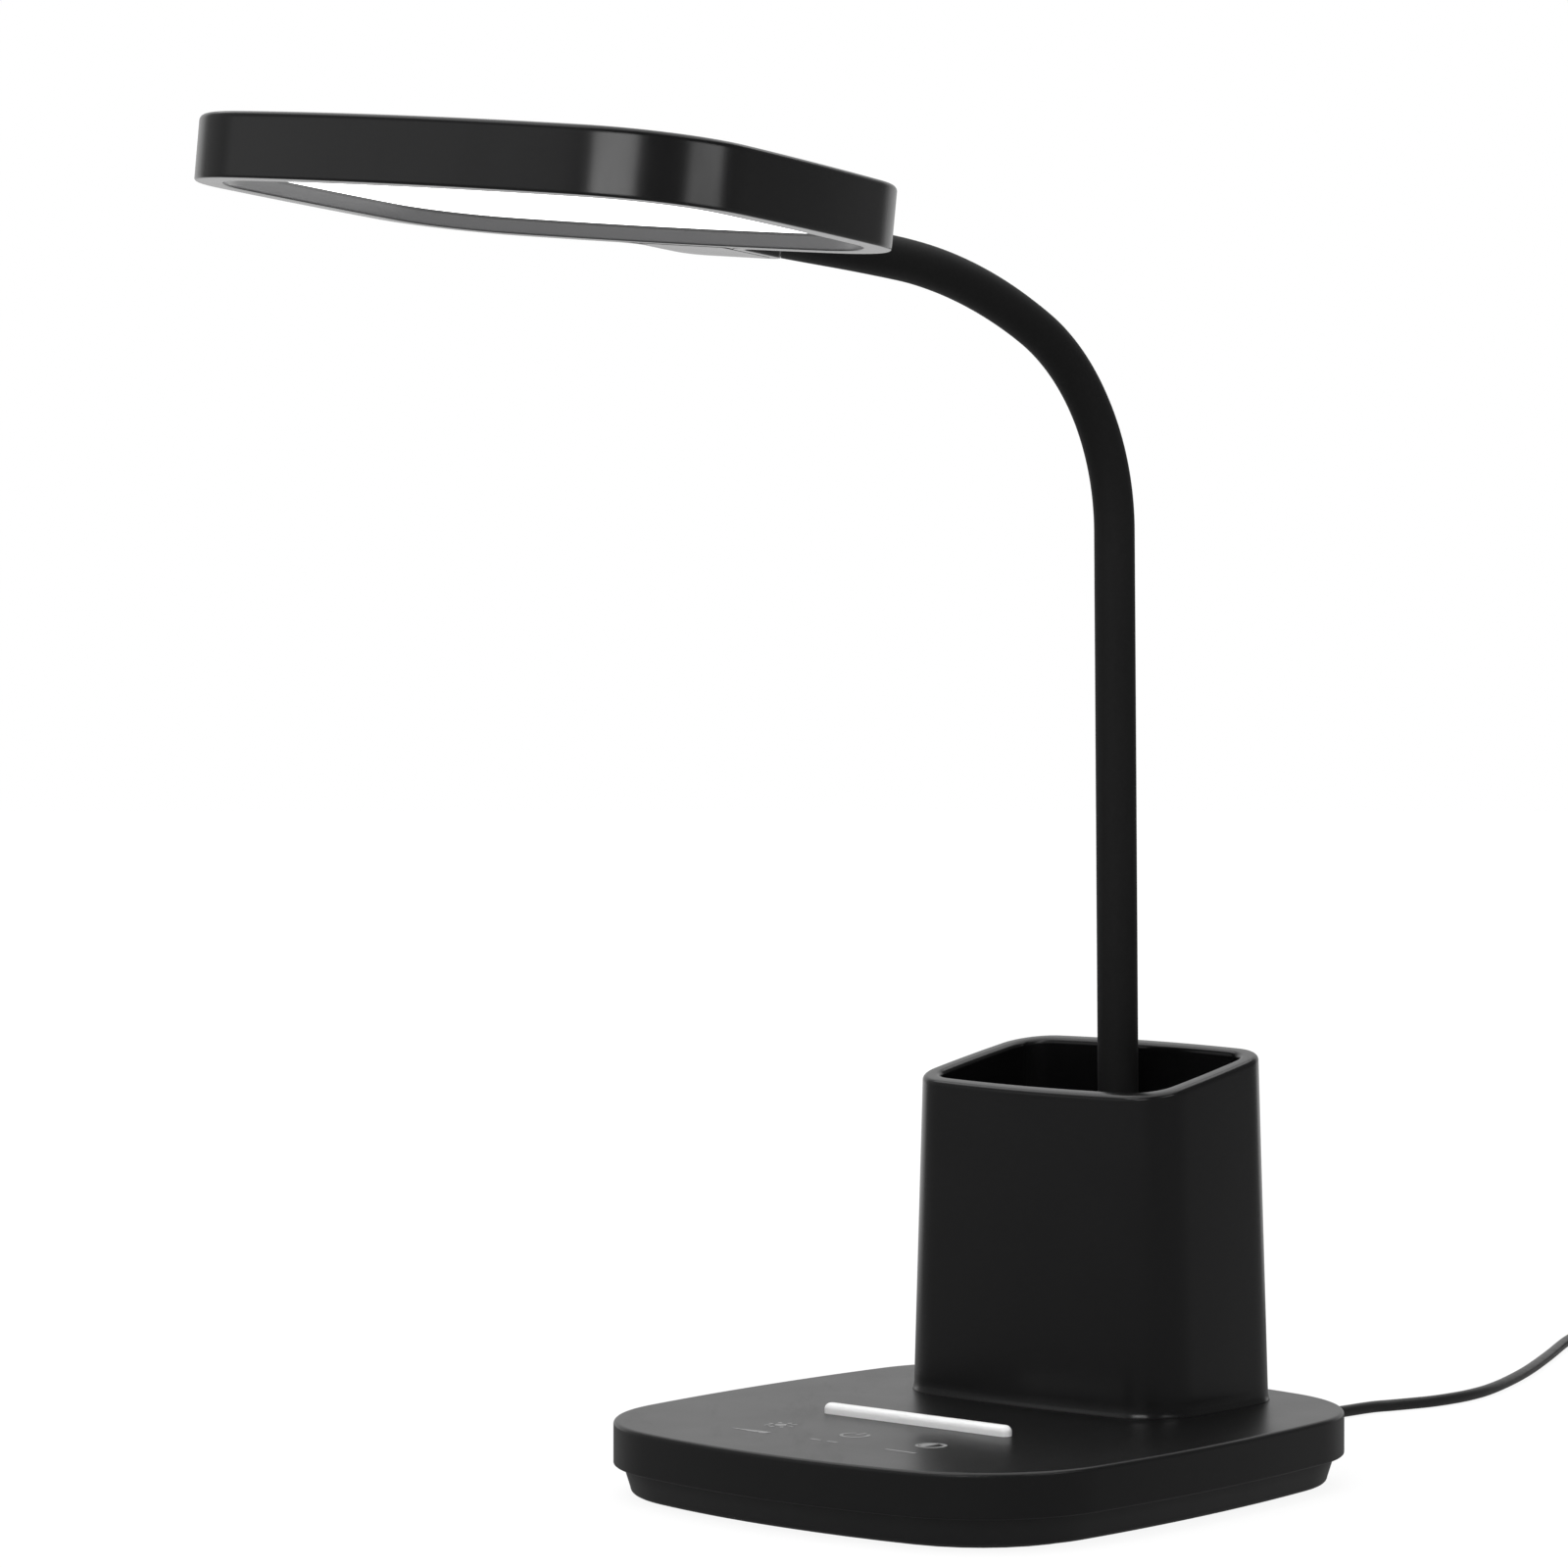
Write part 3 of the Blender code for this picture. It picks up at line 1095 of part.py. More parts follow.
def tube(name, points, material, resolution):
    curve = bpy.data.curves.new(name, "CURVE")
    curve.dimensions = "3D"
    curve.bevel_depth = CORD_DIAMETER / 2
    curve.bevel_resolution = resolution
    curve.use_fill_caps = True
    spline = curve.splines.new("POLY")
    spline.points.add(len(points) - 1)
    for point, place in zip(spline.points, points):
        point.co = (*place, 1.0)
    curve.materials.append(material)
    thing = bpy.data.objects.new(name, curve)
    bpy.context.collection.objects.link(thing)
    return thing


COIL_LOW = TIE_THICKNESS + SEAT + CORD_DIAMETER / 2
COIL_INNER_RADIUS = COIL_OUTER_RADIUS - COIL_STEP * COIL_TURNS


def coil_radius(turns):
    """Radius after a number of turns: in along the desk, half a turn of reversal, and out again above."""
    reversal = COIL_TURNS + 0.25
    if turns <= reversal:
        return COIL_OUTER_RADIUS - COIL_STEP * turns
    return COIL_OUTER_RADIUS - COIL_STEP * reversal + COIL_STEP * (turns - reversal)


def coil_height(turns):
    share = min(max((turns - COIL_TURNS) / 0.5, 0.0), 1.0)
    return COIL_LOW + COIL_STEP * share * share * (3 - 2 * share)


def coil_points():
    """Clockwise coil that starts and ends at its left side, heading away from the lamp."""
    total = COIL_TURNS + 0.5 + COIL_TOP_TURNS
    count = round(total * COIL_POINTS)
    points = []
    for number in range(count + 1):
        turns = number / COIL_POINTS
        angle = math.pi - 2 * math.pi * turns
        radius = coil_radius(turns)
        points.append(Vector((COIL_X + radius * math.cos(angle), COIL_Y + radius * math.sin(angle),
                              coil_height(turns))))
    first = points[0] - Vector((0.0, CORD_DIAMETER, 0.0))
    last = points[-1] + Vector((0.0, CORD_DIAMETER, 0.0))
    return [first] + points + [last]


def least_self_gap(points):
    """Least distance between stretches of the coil that are half a turn or more apart, less a diameter."""
    least = COIL_OUTER_RADIUS
    skip = COIL_POINTS // 2
    for index, point in enumerate(points):
        for other in range(index + skip, len(points) - 1):
            a, b = points[other], points[other + 1]
            share = max(0.0, min(1.0, (point - a).dot(b - a) / (b - a).length_squared))
            least = min(least, (a.lerp(b, share) - point).length)
    return least - CORD_DIAMETER


def coil_tie():
    """Band round the coil's turns at its right side."""
    middle = COIL_OUTER_RADIUS - COIL_STEP * (COIL_TURNS + 0.5) / 2
    inner_width = COIL_STEP * (COIL_TURNS - 0.5) + CORD_DIAMETER + 2 * SEAT
    inner_height = COIL_STEP + CORD_DIAMETER + 2 * SEAT
    outer = rounded_rectangle(inner_width + 2 * TIE_THICKNESS, inner_height + 2 * TIE_THICKNESS,
                              CORD_DIAMETER / 2 + TIE_THICKNESS, 4)
    inner = rounded_rectangle(inner_width, inner_height, CORD_DIAMETER / 2, 4)
    place = (Matrix.Translation((COIL_X + middle, COIL_Y, TIE_THICKNESS + inner_height / 2))
             @ Matrix.Rotation(math.pi / 2, 4, "X"))
    half = TIE_WIDTH / 2
    return solid("coil_tie", [at(outer, -half), at(outer, half), at(inner, half), at(inner, -half)],
                 finish("tie_plastic", BLACK, 0.6), place=place, closed=True)


def plug_place():
    end = from_rear(TAIL_ROUTE[-1])
    return Matrix.Translation(end + Vector((0.0, SEAT, 0.0))) @ Matrix.Rotation(-math.pi / 2, 4, "X")


def usb_plug():
    """Moulded grip of the plug: a round neck that widens into a rounded block."""
    grip = rounded_rectangle(PLUG_WIDTH, PLUG_THICKNESS, PLUG_CORNER, 4)
    count = len(grip)
    neck = []
    for number in range(count):
        x, y = grip[number]
        angle = math.atan2(y, x)
        neck.append((PLUG_NECK_RADIUS * math.cos(angle), PLUG_NECK_RADIUS * math.sin(angle)))
    end = PLUG_NECK_LENGTH + PLUG_LENGTH
    rings = [at(neck, 0.0), at(neck, PLUG_NECK_LENGTH - PLUG_CORNER),
             at(inset(grip, PLUG_CORNER / 3), PLUG_NECK_LENGTH), at(grip, PLUG_NECK_LENGTH + PLUG_CORNER),
             at(grip, end - PLUG_CORNER / 3), at(inset(grip, PLUG_CORNER / 4), end)]
    return solid("usb_plug", rings, finish("plug_plastic", BLACK, 0.5), place=plug_place())


def usb_shell():
    """Metal shell of the plug, open at its mouth, with the contact tongue inside."""
    outline = rounded_rectangle(SHELL_WIDTH, SHELL_THICKNESS, SHELL_CORNER, 2)
    start = PLUG_NECK_LENGTH + PLUG_LENGTH + SEAT
    end = start + SHELL_LENGTH
    inner = inset(outline, SHELL_WALL)
    shell = solid("usb_shell", [at(outline, start), at(outline, end), at(inner, end),
                                 at(inner, start + SHELL_WALL)],
                  finish("shell_steel", (0.75, 0.75, 0.76), 0.25, 1.0), place=plug_place())
    width = SHELL_WIDTH - 2 * SHELL_WALL - 2 * SEAT
    tongue = rounded_rectangle(width, CONTACT_THICKNESS, SEAT, 1)
    lift = (SHELL_THICKNESS - CONTACT_THICKNESS) / 2 - SHELL_WALL - SEAT
    tongue = shifted(tongue, 0.0, lift)
    fuse(shell, solid("usb_contact_tongue", [at(tongue, start + SHELL_WALL / 2),
                                              at(tongue, end - CONTACT_MARGIN)], place=plug_place()))
    return shell


# Build everything

PIECES = {}


def keep(thing):
    PIECES[thing.name] = thing


for build_piece in (anti_slip_pad, base_tray, ballast_plate, base_cover, phone_rest_bar, touch_board,
                    driver_board, strain_relief, pen_cup, neck_nipple, neck_washer, neck_nut, head_shell,
                    neck_anchor, tongue_cover, diffuser, light_frame, led_strip, coil_tie, usb_plug,
                    usb_shell):
    keep(build_piece())
for build_set in (base_screws, touch_pads, cup_screws, anchor_screws):
    for member in build_set():
        keep(member)
for stretch in neck_stretches().values():
    keep(stretch)
keep(sheet_in_frame("light_guide", GUIDE_EDGE, STACK_FOOT, GUIDE_THICKNESS,
                    finish("guide_acrylic", (0.9, 0.92, 0.92), 0.05)))
keep(sheet_in_frame("reflector_sheet", FRAME_INSIDE + SEAT, REFLECTOR_FOOT, REFLECTOR_THICKNESS,
                    finish("reflector_film", WHITE, 0.3)))
keep(sheet_in_frame("heat_spreader", FRAME_INSIDE + SEAT, SPREADER_FOOT, SPREADER_THICKNESS,
                    finish("spreader_aluminium", (0.7, 0.7, 0.72), 0.4, 1.0)))

CORD_FINISH = finish("cord_jacket", (0.015, 0.015, 0.015), 0.5)
COIL = coil_points()
keep(tube("power_cord", smooth_route(CORD_ROUTE, CORD_DIAMETER * 2.5), CORD_FINISH, 2))
keep(tube("cord_coil", COIL, CORD_FINISH, 1))
keep(tube("cord_tail", smooth_route(TAIL_ROUTE, CORD_DIAMETER * 2.5), CORD_FINISH, 2))
print("least gap of the coil to itself, mm:", round(least_self_gap(COIL) * 1000, 2))


# Joints: each moving stretch hangs on an empty that sits on its joint

def joint_empty(name, along, parent):
    empty = bpy.data.objects.new(name, None)
    bpy.context.collection.objects.link(empty)
    place = Matrix.Translation(neck_point(along))
    empty.matrix_world = place
    if parent is not None:
        empty.parent = parent[0]
        empty.matrix_parent_inverse = parent[1].inverted()
    return empty, place


CARRIED = (
    ("neck_sleeve_low", "neck_hose_low", "neck_flex_lean"),
    ("neck_sleeve_middle", "neck_hose_middle", "neck_flex_bend"),
    ("neck_sleeve_high", "neck_hose_high", "neck_flex_turn"),
    ("neck_sleeve_front", "neck_hose_front", "neck_flex_nod"),
    ("neck_sleeve_head", "neck_hose_head", "head_shell", "neck_anchor", "anchor_screw_1",
     "anchor_screw_2", "tongue_cover", "diffuser", "light_frame", "led_strip", "light_guide",
     "reflector_sheet", "heat_spreader"),
)
above = None
for flex_name, flex_place, names in zip(FLEX_NAMES, FLEX_PLACES, CARRIED):
    above = joint_empty("joint_" + flex_name, flex_place, above)
    for name in names:
        PIECES[name].parent = above[0]
        PIECES[name].matrix_parent_inverse = above[1].inverted()
    axis = neck_side(flex_place)
    print("joint", flex_name, [round(value, 6) for value in neck_point(flex_place)],
          "side", [round(value, 6) for value in axis],
          "up", [round(value, 6) for value in axis.cross(neck_tangent(flex_place))])
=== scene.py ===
# %% [markdown]
# # A desk lamp with a pen cup
# This lesson dresses the bare model of a desk lamp, so that it looks like the real one on a white
# studio table. The lamp is a weighted base with three touch keys and a bright bar that a phone
# stands behind, a black desk cup, a neck that stays where it is bent, and a flat square head with
# a glowing panel under it. Almost all of it is black plastic, so the work is in soft edges, in the
# light that they catch, and in a very fine grain.

# %% [markdown]
# ## The model that is dressed
# Each piece made here, except the sleeve's, rides on one of the lamp's bodies. The finished one
# may not outgrow it.

# %% Load the bare model
import json
import math

import bpy
from mathutils import Matrix, Vector


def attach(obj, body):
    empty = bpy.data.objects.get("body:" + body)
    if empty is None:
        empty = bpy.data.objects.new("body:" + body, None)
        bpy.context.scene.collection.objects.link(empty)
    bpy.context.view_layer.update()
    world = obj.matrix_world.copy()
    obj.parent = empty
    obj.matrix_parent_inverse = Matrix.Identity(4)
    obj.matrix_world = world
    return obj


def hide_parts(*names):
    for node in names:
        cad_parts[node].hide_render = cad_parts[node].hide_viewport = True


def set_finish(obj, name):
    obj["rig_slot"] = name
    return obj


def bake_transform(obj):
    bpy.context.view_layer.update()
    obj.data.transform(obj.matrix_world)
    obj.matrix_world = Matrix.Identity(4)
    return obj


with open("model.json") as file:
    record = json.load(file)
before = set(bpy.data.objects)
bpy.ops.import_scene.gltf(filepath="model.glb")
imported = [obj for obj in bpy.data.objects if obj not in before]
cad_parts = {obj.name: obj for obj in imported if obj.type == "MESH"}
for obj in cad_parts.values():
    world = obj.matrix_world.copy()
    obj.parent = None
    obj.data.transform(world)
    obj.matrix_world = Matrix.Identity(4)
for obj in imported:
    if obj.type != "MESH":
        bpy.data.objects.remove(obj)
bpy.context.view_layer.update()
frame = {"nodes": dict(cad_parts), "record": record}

# %% [markdown]
# ## Sizes of the lamp
# Every length is in metres and in the lamp's own frame: the middle of the anti-slip pad is the
# origin, the touch keys face -Y and the desk is at height 0. The outlines of base, cup and head are
# all one idea, a rectangle whose four sides are long arcs and whose corners are short ones. Five
# numbers describe each of them, and two more say in how many steps a side and a corner are drawn.

# %% Name the sizes
GAP = 0.0003
BASE = {"width": 0.176, "depth": 0.201, "side": 0.560, "end": 0.248, "corner": 0.047,
        "steps": (28, 20)}
CUP = {"width": 0.1032, "depth": 0.0710, "side": 0.380, "end": 0.380, "corner": 0.018,
       "steps": (20, 14)}
HEAD = {"width": 0.1584, "depth": 0.142, "side": 0.798, "end": 0.302, "corner": 0.0336,
        "steps": (32, 16)}
BASE_TOP = 0.0224
COVER_FOOT = 0.0094
CUP_Y = 0.0524
CUP_SCREW_Y = 0.0441
HEAD_THICKNESS = 0.0167
TONGUE = {"width": 0.033, "length": 0.028, "corner": 0.007, "root": 0.005}
print("base", BASE["width"], "x", BASE["depth"], "head", HEAD["width"], "x", HEAD["depth"])

# %% [markdown]
# ## The camera
# The camera stands in front of the lamp and to its right, level with the middle of the neck, and
# looks straight ahead, so upright edges stay upright. Its lens is long, as for a product picture.
# The horizon is in the middle, which is why the base is seen from above and the head from below.

# %% Set the camera
camera_data = bpy.data.cameras.new("studio_camera")
camera = bpy.data.objects.new("studio_camera", camera_data)
bpy.context.collection.objects.link(camera)
camera.location = (0.78771, -0.96822, 0.20925)
camera.rotation_euler = (math.radians(90.0), 0.0, 0.73)
camera_data.sensor_width = 36.0
camera_data.lens = 96.32
camera_data.clip_start = 0.01
bpy.context.scene.camera = camera
print("camera", [round(c, 3) for c in camera.location], "lens", camera_data.lens)

# %% [markdown]
# ## Line of the neck
# The neck is a steel gooseneck under a silicone sleeve. It stands almost straight, bends over in a
# tight arc, runs out in a slack one, and turns a little sideways at its end. Its line is summed up
# in small steps from the angle at each length along it, as a walker would pace it out. The head
# hangs on the end of that line, so the same line places the head.

# %% Walk along the neck
NECK_FOOT = Vector((0.0, 0.0678, BASE_TOP))
STRAIGHT = 0.265
LEAN = math.radians(0.62)
BENDS = ((0.0655, math.radians(66.0)), (0.180, math.radians(87.2)), (1.340, math.radians(90.3)))
HEAD_YAW = 0.218
YAW_LENGTH = 0.040
NECK_RADIUS = 0.0063


def bend_stops():
    """Length along the neck and pitch at the end of each arc."""
    along, pitch = STRAIGHT, LEAN
    stops = [(0.0, LEAN), (STRAIGHT, LEAN)]
    for radius, end in BENDS:
        along += radius * (end - pitch)
        pitch = end
        stops.append((along, end))
    return stops


STOPS = bend_stops()
NECK_LENGTH = STOPS[-1][0]


def neck_tangent(along):
    pitch = STOPS[-1][1]
    for (start, low), (end, high) in zip(STOPS, STOPS[1:]):
        if along <= end:
            pitch = low + (high - low) * (along - start) / (end - start)
            break
    yaw = HEAD_YAW * min(max((along - NECK_LENGTH) / YAW_LENGTH + 1, 0.0), 1.0)
    level = math.sin(pitch)
    return Vector((level * math.sin(yaw), -level * math.cos(yaw), math.cos(pitch)))


def neck_line(spacing, end):
    """Points of the neck's middle, at an even spacing."""
    fine = 8
    count = round(end / spacing)
    step = end / (count * fine)
    points = [NECK_FOOT.copy()]
    here = NECK_FOOT.copy()
    for number in range(count * fine):
        here = here + neck_tangent(step * (number + 0.5)) * step
        if (number + 1) % fine == 0:
            points.append(here.copy())
    return points


NECK_END = neck_line(0.0005, NECK_LENGTH)[-1]
HEAD_TURN = (Matrix.Rotation(HEAD_YAW, 4, "Z") @ Matrix.Rotation(0.0045, 4, "X")
             @ Matrix.Rotation(0.1097, 4, "Y"))
NECK_ENTRY = Vector((0.0, HEAD["depth"] / 2 + TONGUE["length"], HEAD_THICKNESS / 2))
HEAD_PLACE = Matrix.Translation(NECK_END - HEAD_TURN.to_3x3() @ NECK_ENTRY) @ HEAD_TURN
print("neck", round(NECK_LENGTH, 4), "m long, ends at", [round(c, 4) for c in NECK_END])

# %% [markdown]
# ## The supply lead
# A thin round lead leaves a rubber boot at the back of the base, drops to the desk and wanders off
# to the side. What the picture doesn't show of it is wound into a flat coil behind the lamp, with
# its plug. One curve is the whole lead: first the loose run through a few points, then the coil
# that spirals in on the desk and out again on top, then the short tail. A smooth curve through the
# points keeps it from looking like bent wire.

# %% Draw the lead as one curve
LEAD_DIAMETER = 0.0038
LOOSE_RUN = (
    (0.0000, 0.1231, 0.0099), (0.0000, 0.1300, 0.0099), (0.0000, 0.1390, 0.0086),
    (0.0001, 0.1500, 0.0056), (0.0002, 0.1620, 0.0031), (0.0004, 0.1750, 0.0021),
    (0.0008, 0.1890, 0.0019), (0.0023, 0.2028, 0.0019), (0.0050, 0.2105, 0.0019),
    (0.0076, 0.2183, 0.0019), (0.0100, 0.2266, 0.0019), (0.0113, 0.2365, 0.0019),
    (0.0115, 0.2483, 0.0019), (0.0093, 0.2640, 0.0019), (0.0033, 0.2862, 0.0019),
    (-0.0061, 0.3141, 0.0019), (-0.0203, 0.3503, 0.0019), (-0.0337, 0.3825, 0.0019),
    (-0.0402, 0.4005, 0.0020), (-0.0440, 0.4170, 0.0025), (-0.0450, 0.4280, 0.0028),
    (-0.0450, 0.4359, 0.0028),
)
TAIL = (
    (-0.04285, 0.4441, 0.0071), (-0.04285, 0.4480, 0.0071), (-0.0427, 0.4560, 0.0067),
    (-0.0425, 0.4640, 0.0054), (-0.0424, 0.4710, 0.0042), (-0.0424, 0.4780, 0.0039),
    (-0.0424, 0.4820, 0.0039),
)
COIL = {"middle": (-0.0175, 0.440), "radius": 0.0275, "step": 0.0043, "turns": 3, "low": 0.0028}


def smooth_run(route, steps):
    """Points on a smooth curve through a route, with a number of them between each two."""
    fixed = [Vector(point) for point in route]
    ends = [fixed[0] * 2 - fixed[1]] + fixed + [fixed[-1] * 2 - fixed[-2]]
    points = []
    for before, here, there, after in zip(ends, ends[1:], ends[2:], ends[3:]):
        for step in range(steps):
            t = step / steps
            points.append(0.5 * ((2 * here) + (there - before) * t
                                 + (2 * before - 5 * here + 4 * there - after) * t ** 2
                                 + (3 * here - before - 3 * there + after) * t ** 3))
    return points + [fixed[-1]]


def coil_run(per_turn):
    """The coil, in along the desk, half a turn of climb, and out again above."""
    points = []
    reversal = COIL["turns"] + 0.25
    for number in range(6 * per_turn + 1):
        turns = number / per_turn
        inwards = turns if turns <= reversal else 2 * reversal - turns
        radius = COIL["radius"] - COIL["step"] * inwards
        climb = min(max((turns - COIL["turns"]) / 0.5, 0.0), 1.0)
        angle = math.pi - 2 * math.pi * turns
        points.append(Vector((COIL["middle"][0] + radius * math.cos(angle),
                              COIL["middle"][1] + radius * math.sin(angle),
                              COIL["low"] + COIL["step"] * climb * climb * (3 - 2 * climb))))
    return points


def round_curve(name, points, radius, resolution):
    """A curve as thick as its points' radius, because its own depth is one."""
    curve = bpy.data.curves.new(name, "CURVE")
    curve.dimensions = "3D"
    curve.bevel_depth = 1.0
    curve.bevel_resolution = resolution
    spline = curve.splines.new("POLY")
    spline.points.add(len(points) - 1)
    for point, place in zip(spline.points, points):
        point.co = (*place, 1.0)
        point.radius = radius
    thing = bpy.data.objects.new(name, curve)
    bpy.context.collection.objects.link(thing)
    return thing


lead_points = smooth_run(LOOSE_RUN, 5) + coil_run(40) + smooth_run(TAIL, 4)
supply_lead = round_curve("supply_lead", lead_points, LEAD_DIAMETER / 2, 5)
supply_lead.data.use_fill_caps = True
LEAD_LENGTH = sum((b - a).length for a, b in zip(lead_points, lead_points[1:]))
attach(supply_lead, "base")
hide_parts("power_cord", "cord_coil", "cord_tail")
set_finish(supply_lead, "cord_rubber")
print("supply lead", round(LEAD_LENGTH, 3), "m in", len(lead_points), "points")

# %% [markdown]
# ## Tools for modelling by hand
# Blender's operators act on what is selected, so a few small helpers select things by a test and
# leave nothing else selected.

# %% Helpers that select
def select_nothing():
    """Leaves edit mode, with no object selected."""
    if bpy.context.mode != "OBJECT":
        bpy.ops.object.mode_set(mode="OBJECT")
    bpy.ops.object.select_all(action="DESELECT")


def only(*things):
    """Selects these objects and makes the first one active."""
    select_nothing()
    for thing in things:
        thing.select_set(True)
    bpy.context.view_layer.objects.active = things[0]


def pick(thing, test, kind="FACE"):
    """In edit mode, selects the faces, edges or points that pass a test, and nothing else."""
    only(thing)
    bpy.ops.object.mode_set(mode="EDIT")
    bpy.ops.mesh.select_mode(type=kind)
    bpy.ops.mesh.select_all(action="DESELECT")
    bpy.ops.object.mode_set(mode="OBJECT")
    for element in thing.data.polygons if kind == "FACE" else thing.data.vertices:
        element.select = test(element)
    bpy.ops.object.mode_set(mode="EDIT")


def everything(element):
    return True


def looks_down(face):
    return face.normal.z < -0.9


print("selection helpers ready")

# %% [markdown]
# ## Walking an outline
# The outlines are walked with Spin: one point turned about the centre of an arc leaves that arc
# behind it, and the next spin goes on from its end. The angle is given anticlockwise here, and Spin
# counts the other way, which is why it's negated. A cap that is then inset and lifted in small
# steps leaves a moulded edge behind it, and a profile is the list of those steps.

# %% Helpers that shape
def name_new(name):
    """Names the primitive that was just added, and applies its place to its mesh."""
    thing = bpy.context.object
    thing.name = thing.data.name = name
    bpy.ops.object.transform_apply(location=True, rotation=True, scale=True)
    return thing


def lone_point(name, x, y, z):
    """A mesh of one selected point, in edit mode."""
    select_nothing()
    bpy.ops.mesh.primitive_plane_add(size=0.001, location=(x, y, z))
    thing = name_new(name)
    bpy.ops.object.mode_set(mode="EDIT")
    bpy.ops.mesh.select_mode(type="VERT")
    bpy.ops.mesh.select_all(action="SELECT")
    bpy.ops.mesh.merge(type="CENTER")
    return thing


def turn_point(centre, angle, steps, axis=(0.0, 0.0, 1.0)):
    """Walks an arc about a centre, anticlockwise for a positive angle."""
    bpy.ops.mesh.spin(steps=steps, angle=-angle, center=centre, axis=axis)


def push(x, y, z):
    """Extrudes what is selected."""
    bpy.ops.mesh.extrude_region_move(TRANSFORM_OT_translate={"value": (x, y, z)})


def trace(steps):
    """Carries the selected cap along a profile of (inwards, outwards along its normal) steps."""
    for inwards, lift in steps:
        bpy.ops.mesh.inset(thickness=inwards, depth=lift, use_boundary=True, use_even_offset=True)


def merge_close(distance=0.00001):
    """Makes points that lie this close together one point."""
    bpy.ops.mesh.select_all(action="SELECT")
    bpy.ops.mesh.remove_doubles(threshold=distance)


def raise_wall(height, hold=0.0004):
    """Extrudes an upright wall, with a holding ring near each end that keeps its shading flat."""
    for rise in (hold, height - 2 * hold, hold):
        push(0.0, 0.0, rise)


def set_back(thing, distance):
    """Shrinks a lone filled outline by an even distance."""
    trace([(distance, 0.0)])
    bpy.ops.mesh.select_all(action="INVERT")
    bpy.ops.mesh.delete(type="FACE")
    pick(thing, everything)


def rounding(radius, count, into=False):
    """Profile steps of a quarter round: up and then in, or in and then down with into."""
    steps = []
    for number in range(count):
        start = math.pi / 2 * number / count
        end = math.pi / 2 * (number + 1) / count
        inwards = radius * (math.cos(start) - math.cos(end))
        lift = radius * (math.sin(end) - math.sin(start))
        steps.append((lift, -inwards) if into else (inwards, lift))
    return steps


print("shaping helpers ready")

# %% [markdown]
# ## Closing a piece
# When a piece has its shape, its faces are turned outwards and shaded smooth, except across sharp
# edges. A piece of the head is then put in its place, and its mesh takes that place over.

# %% Helpers that finish a mesh
def settle(thing):
    """Makes all faces point outwards, and leaves edit mode."""
    pick(thing, everything)
    bpy.ops.mesh.normals_make_consistent(inside=False)
    bpy.ops.object.mode_set(mode="OBJECT")


def soften(thing, degrees=32.0):
    """Settles a piece and shades it smooth, except across edges sharper than an angle."""
    settle(thing)
    bpy.ops.object.shade_smooth_by_angle(angle=math.radians(degrees))


def put_on(thing, place):
    """Moves a finished mesh to its place and applies it, so the object stays at the origin."""
    only(thing)
    thing.matrix_world = place
    bpy.ops.object.transform_apply(location=True, rotation=True, scale=True)


def report(thing):
    """Prints a piece's faces and its size along each axis."""
    places = [[vertex.co[axis] for vertex in thing.data.vertices] for axis in range(3)]
    sides = [round(1000 * (max(places[axis]) - min(places[axis])), 1) for axis in range(3)]
    print(thing.name, len(thing.data.polygons), "faces", sides, "mm")


print("finishing helpers ready")

# %% [markdown]
# ## The bulged outline
# A circle inside two other circles touches both of them where the lines through their centres meet
# it. That gives the corner's centre, and with it the angle at which each side arc hands over to the
# corner. The walk goes once round by arcs and straight runs, the closing point is merged, and the
# loop is filled with one face that the next steps can extrude and inset.

# %% Walk a bulged outline
def corner_of(shape):
    """Centre of the first corner, and the angles where the side arc ends and the end arc starts."""
    side = Vector((shape["width"] / 2 - shape["side"], 0.0))
    end = Vector((0.0, shape["depth"] / 2 - shape["end"]))
    side_reach = shape["side"] - shape["corner"]
    end_reach = shape["end"] - shape["corner"]
    between = end - side
    along = (side_reach ** 2 - end_reach ** 2 + between.length ** 2) / (2 * between.length)
    across = math.sqrt(side_reach ** 2 - along ** 2)
    direction = between.normalized()
    centre = side + direction * along + Vector((-direction.y, direction.x)) * across
    return (centre, math.atan2(centre.y - side.y, centre.x - side.x),
            math.atan2(centre.y - end.y, centre.x - end.x))


def close_outline():
    """Merges the ends of the walk and fills it with a face that looks up."""
    merge_close()
    bpy.ops.mesh.edge_face_add()
    bpy.ops.object.mode_set(mode="OBJECT")
    upside_down = looks_down(bpy.context.object.data.polygons[0])
    bpy.ops.object.mode_set(mode="EDIT")
    if upside_down:
        bpy.ops.mesh.flip_normals()
    bpy.ops.mesh.select_mode(type="FACE")


def walk(name, start, height, *moves):
    """A filled outline from straight runs (x, y) and arcs (centre, angle, steps), in order."""
    thing = lone_point(name, *start, height)
    for move in moves:
        if len(move) == 2:
            push(*move, 0.0)
        else:
            centre, angle, steps = move
            turn_point((*centre, height), angle, steps)
    close_outline()
    return thing


def round_tongue(shape, tongue, end_y, end_angle):
    """The rear arc broken by a fillet, a straight side, two round corners and the way back."""
    root, corner, half = tongue["root"], tongue["corner"], tongue["width"] / 2
    rear = shape["depth"] / 2 + tongue["length"] - corner
    rise = math.sqrt((shape["end"] + root) ** 2 - (half + root) ** 2)
    touch = math.atan2(rise, half + root)
    straight = rear - end_y - rise
    arc = ((0.0, end_y), touch - end_angle, 8)
    return [arc, ((half + root, end_y + rise), -touch, 8), (0.0, straight),
            ((half - corner, rear), math.pi / 2, 12), (2 * (corner - half), 0.0),
            ((corner - half, rear), math.pi / 2, 12), (0.0, -straight),
            ((-half - root, end_y + rise), -touch, 8), arc]


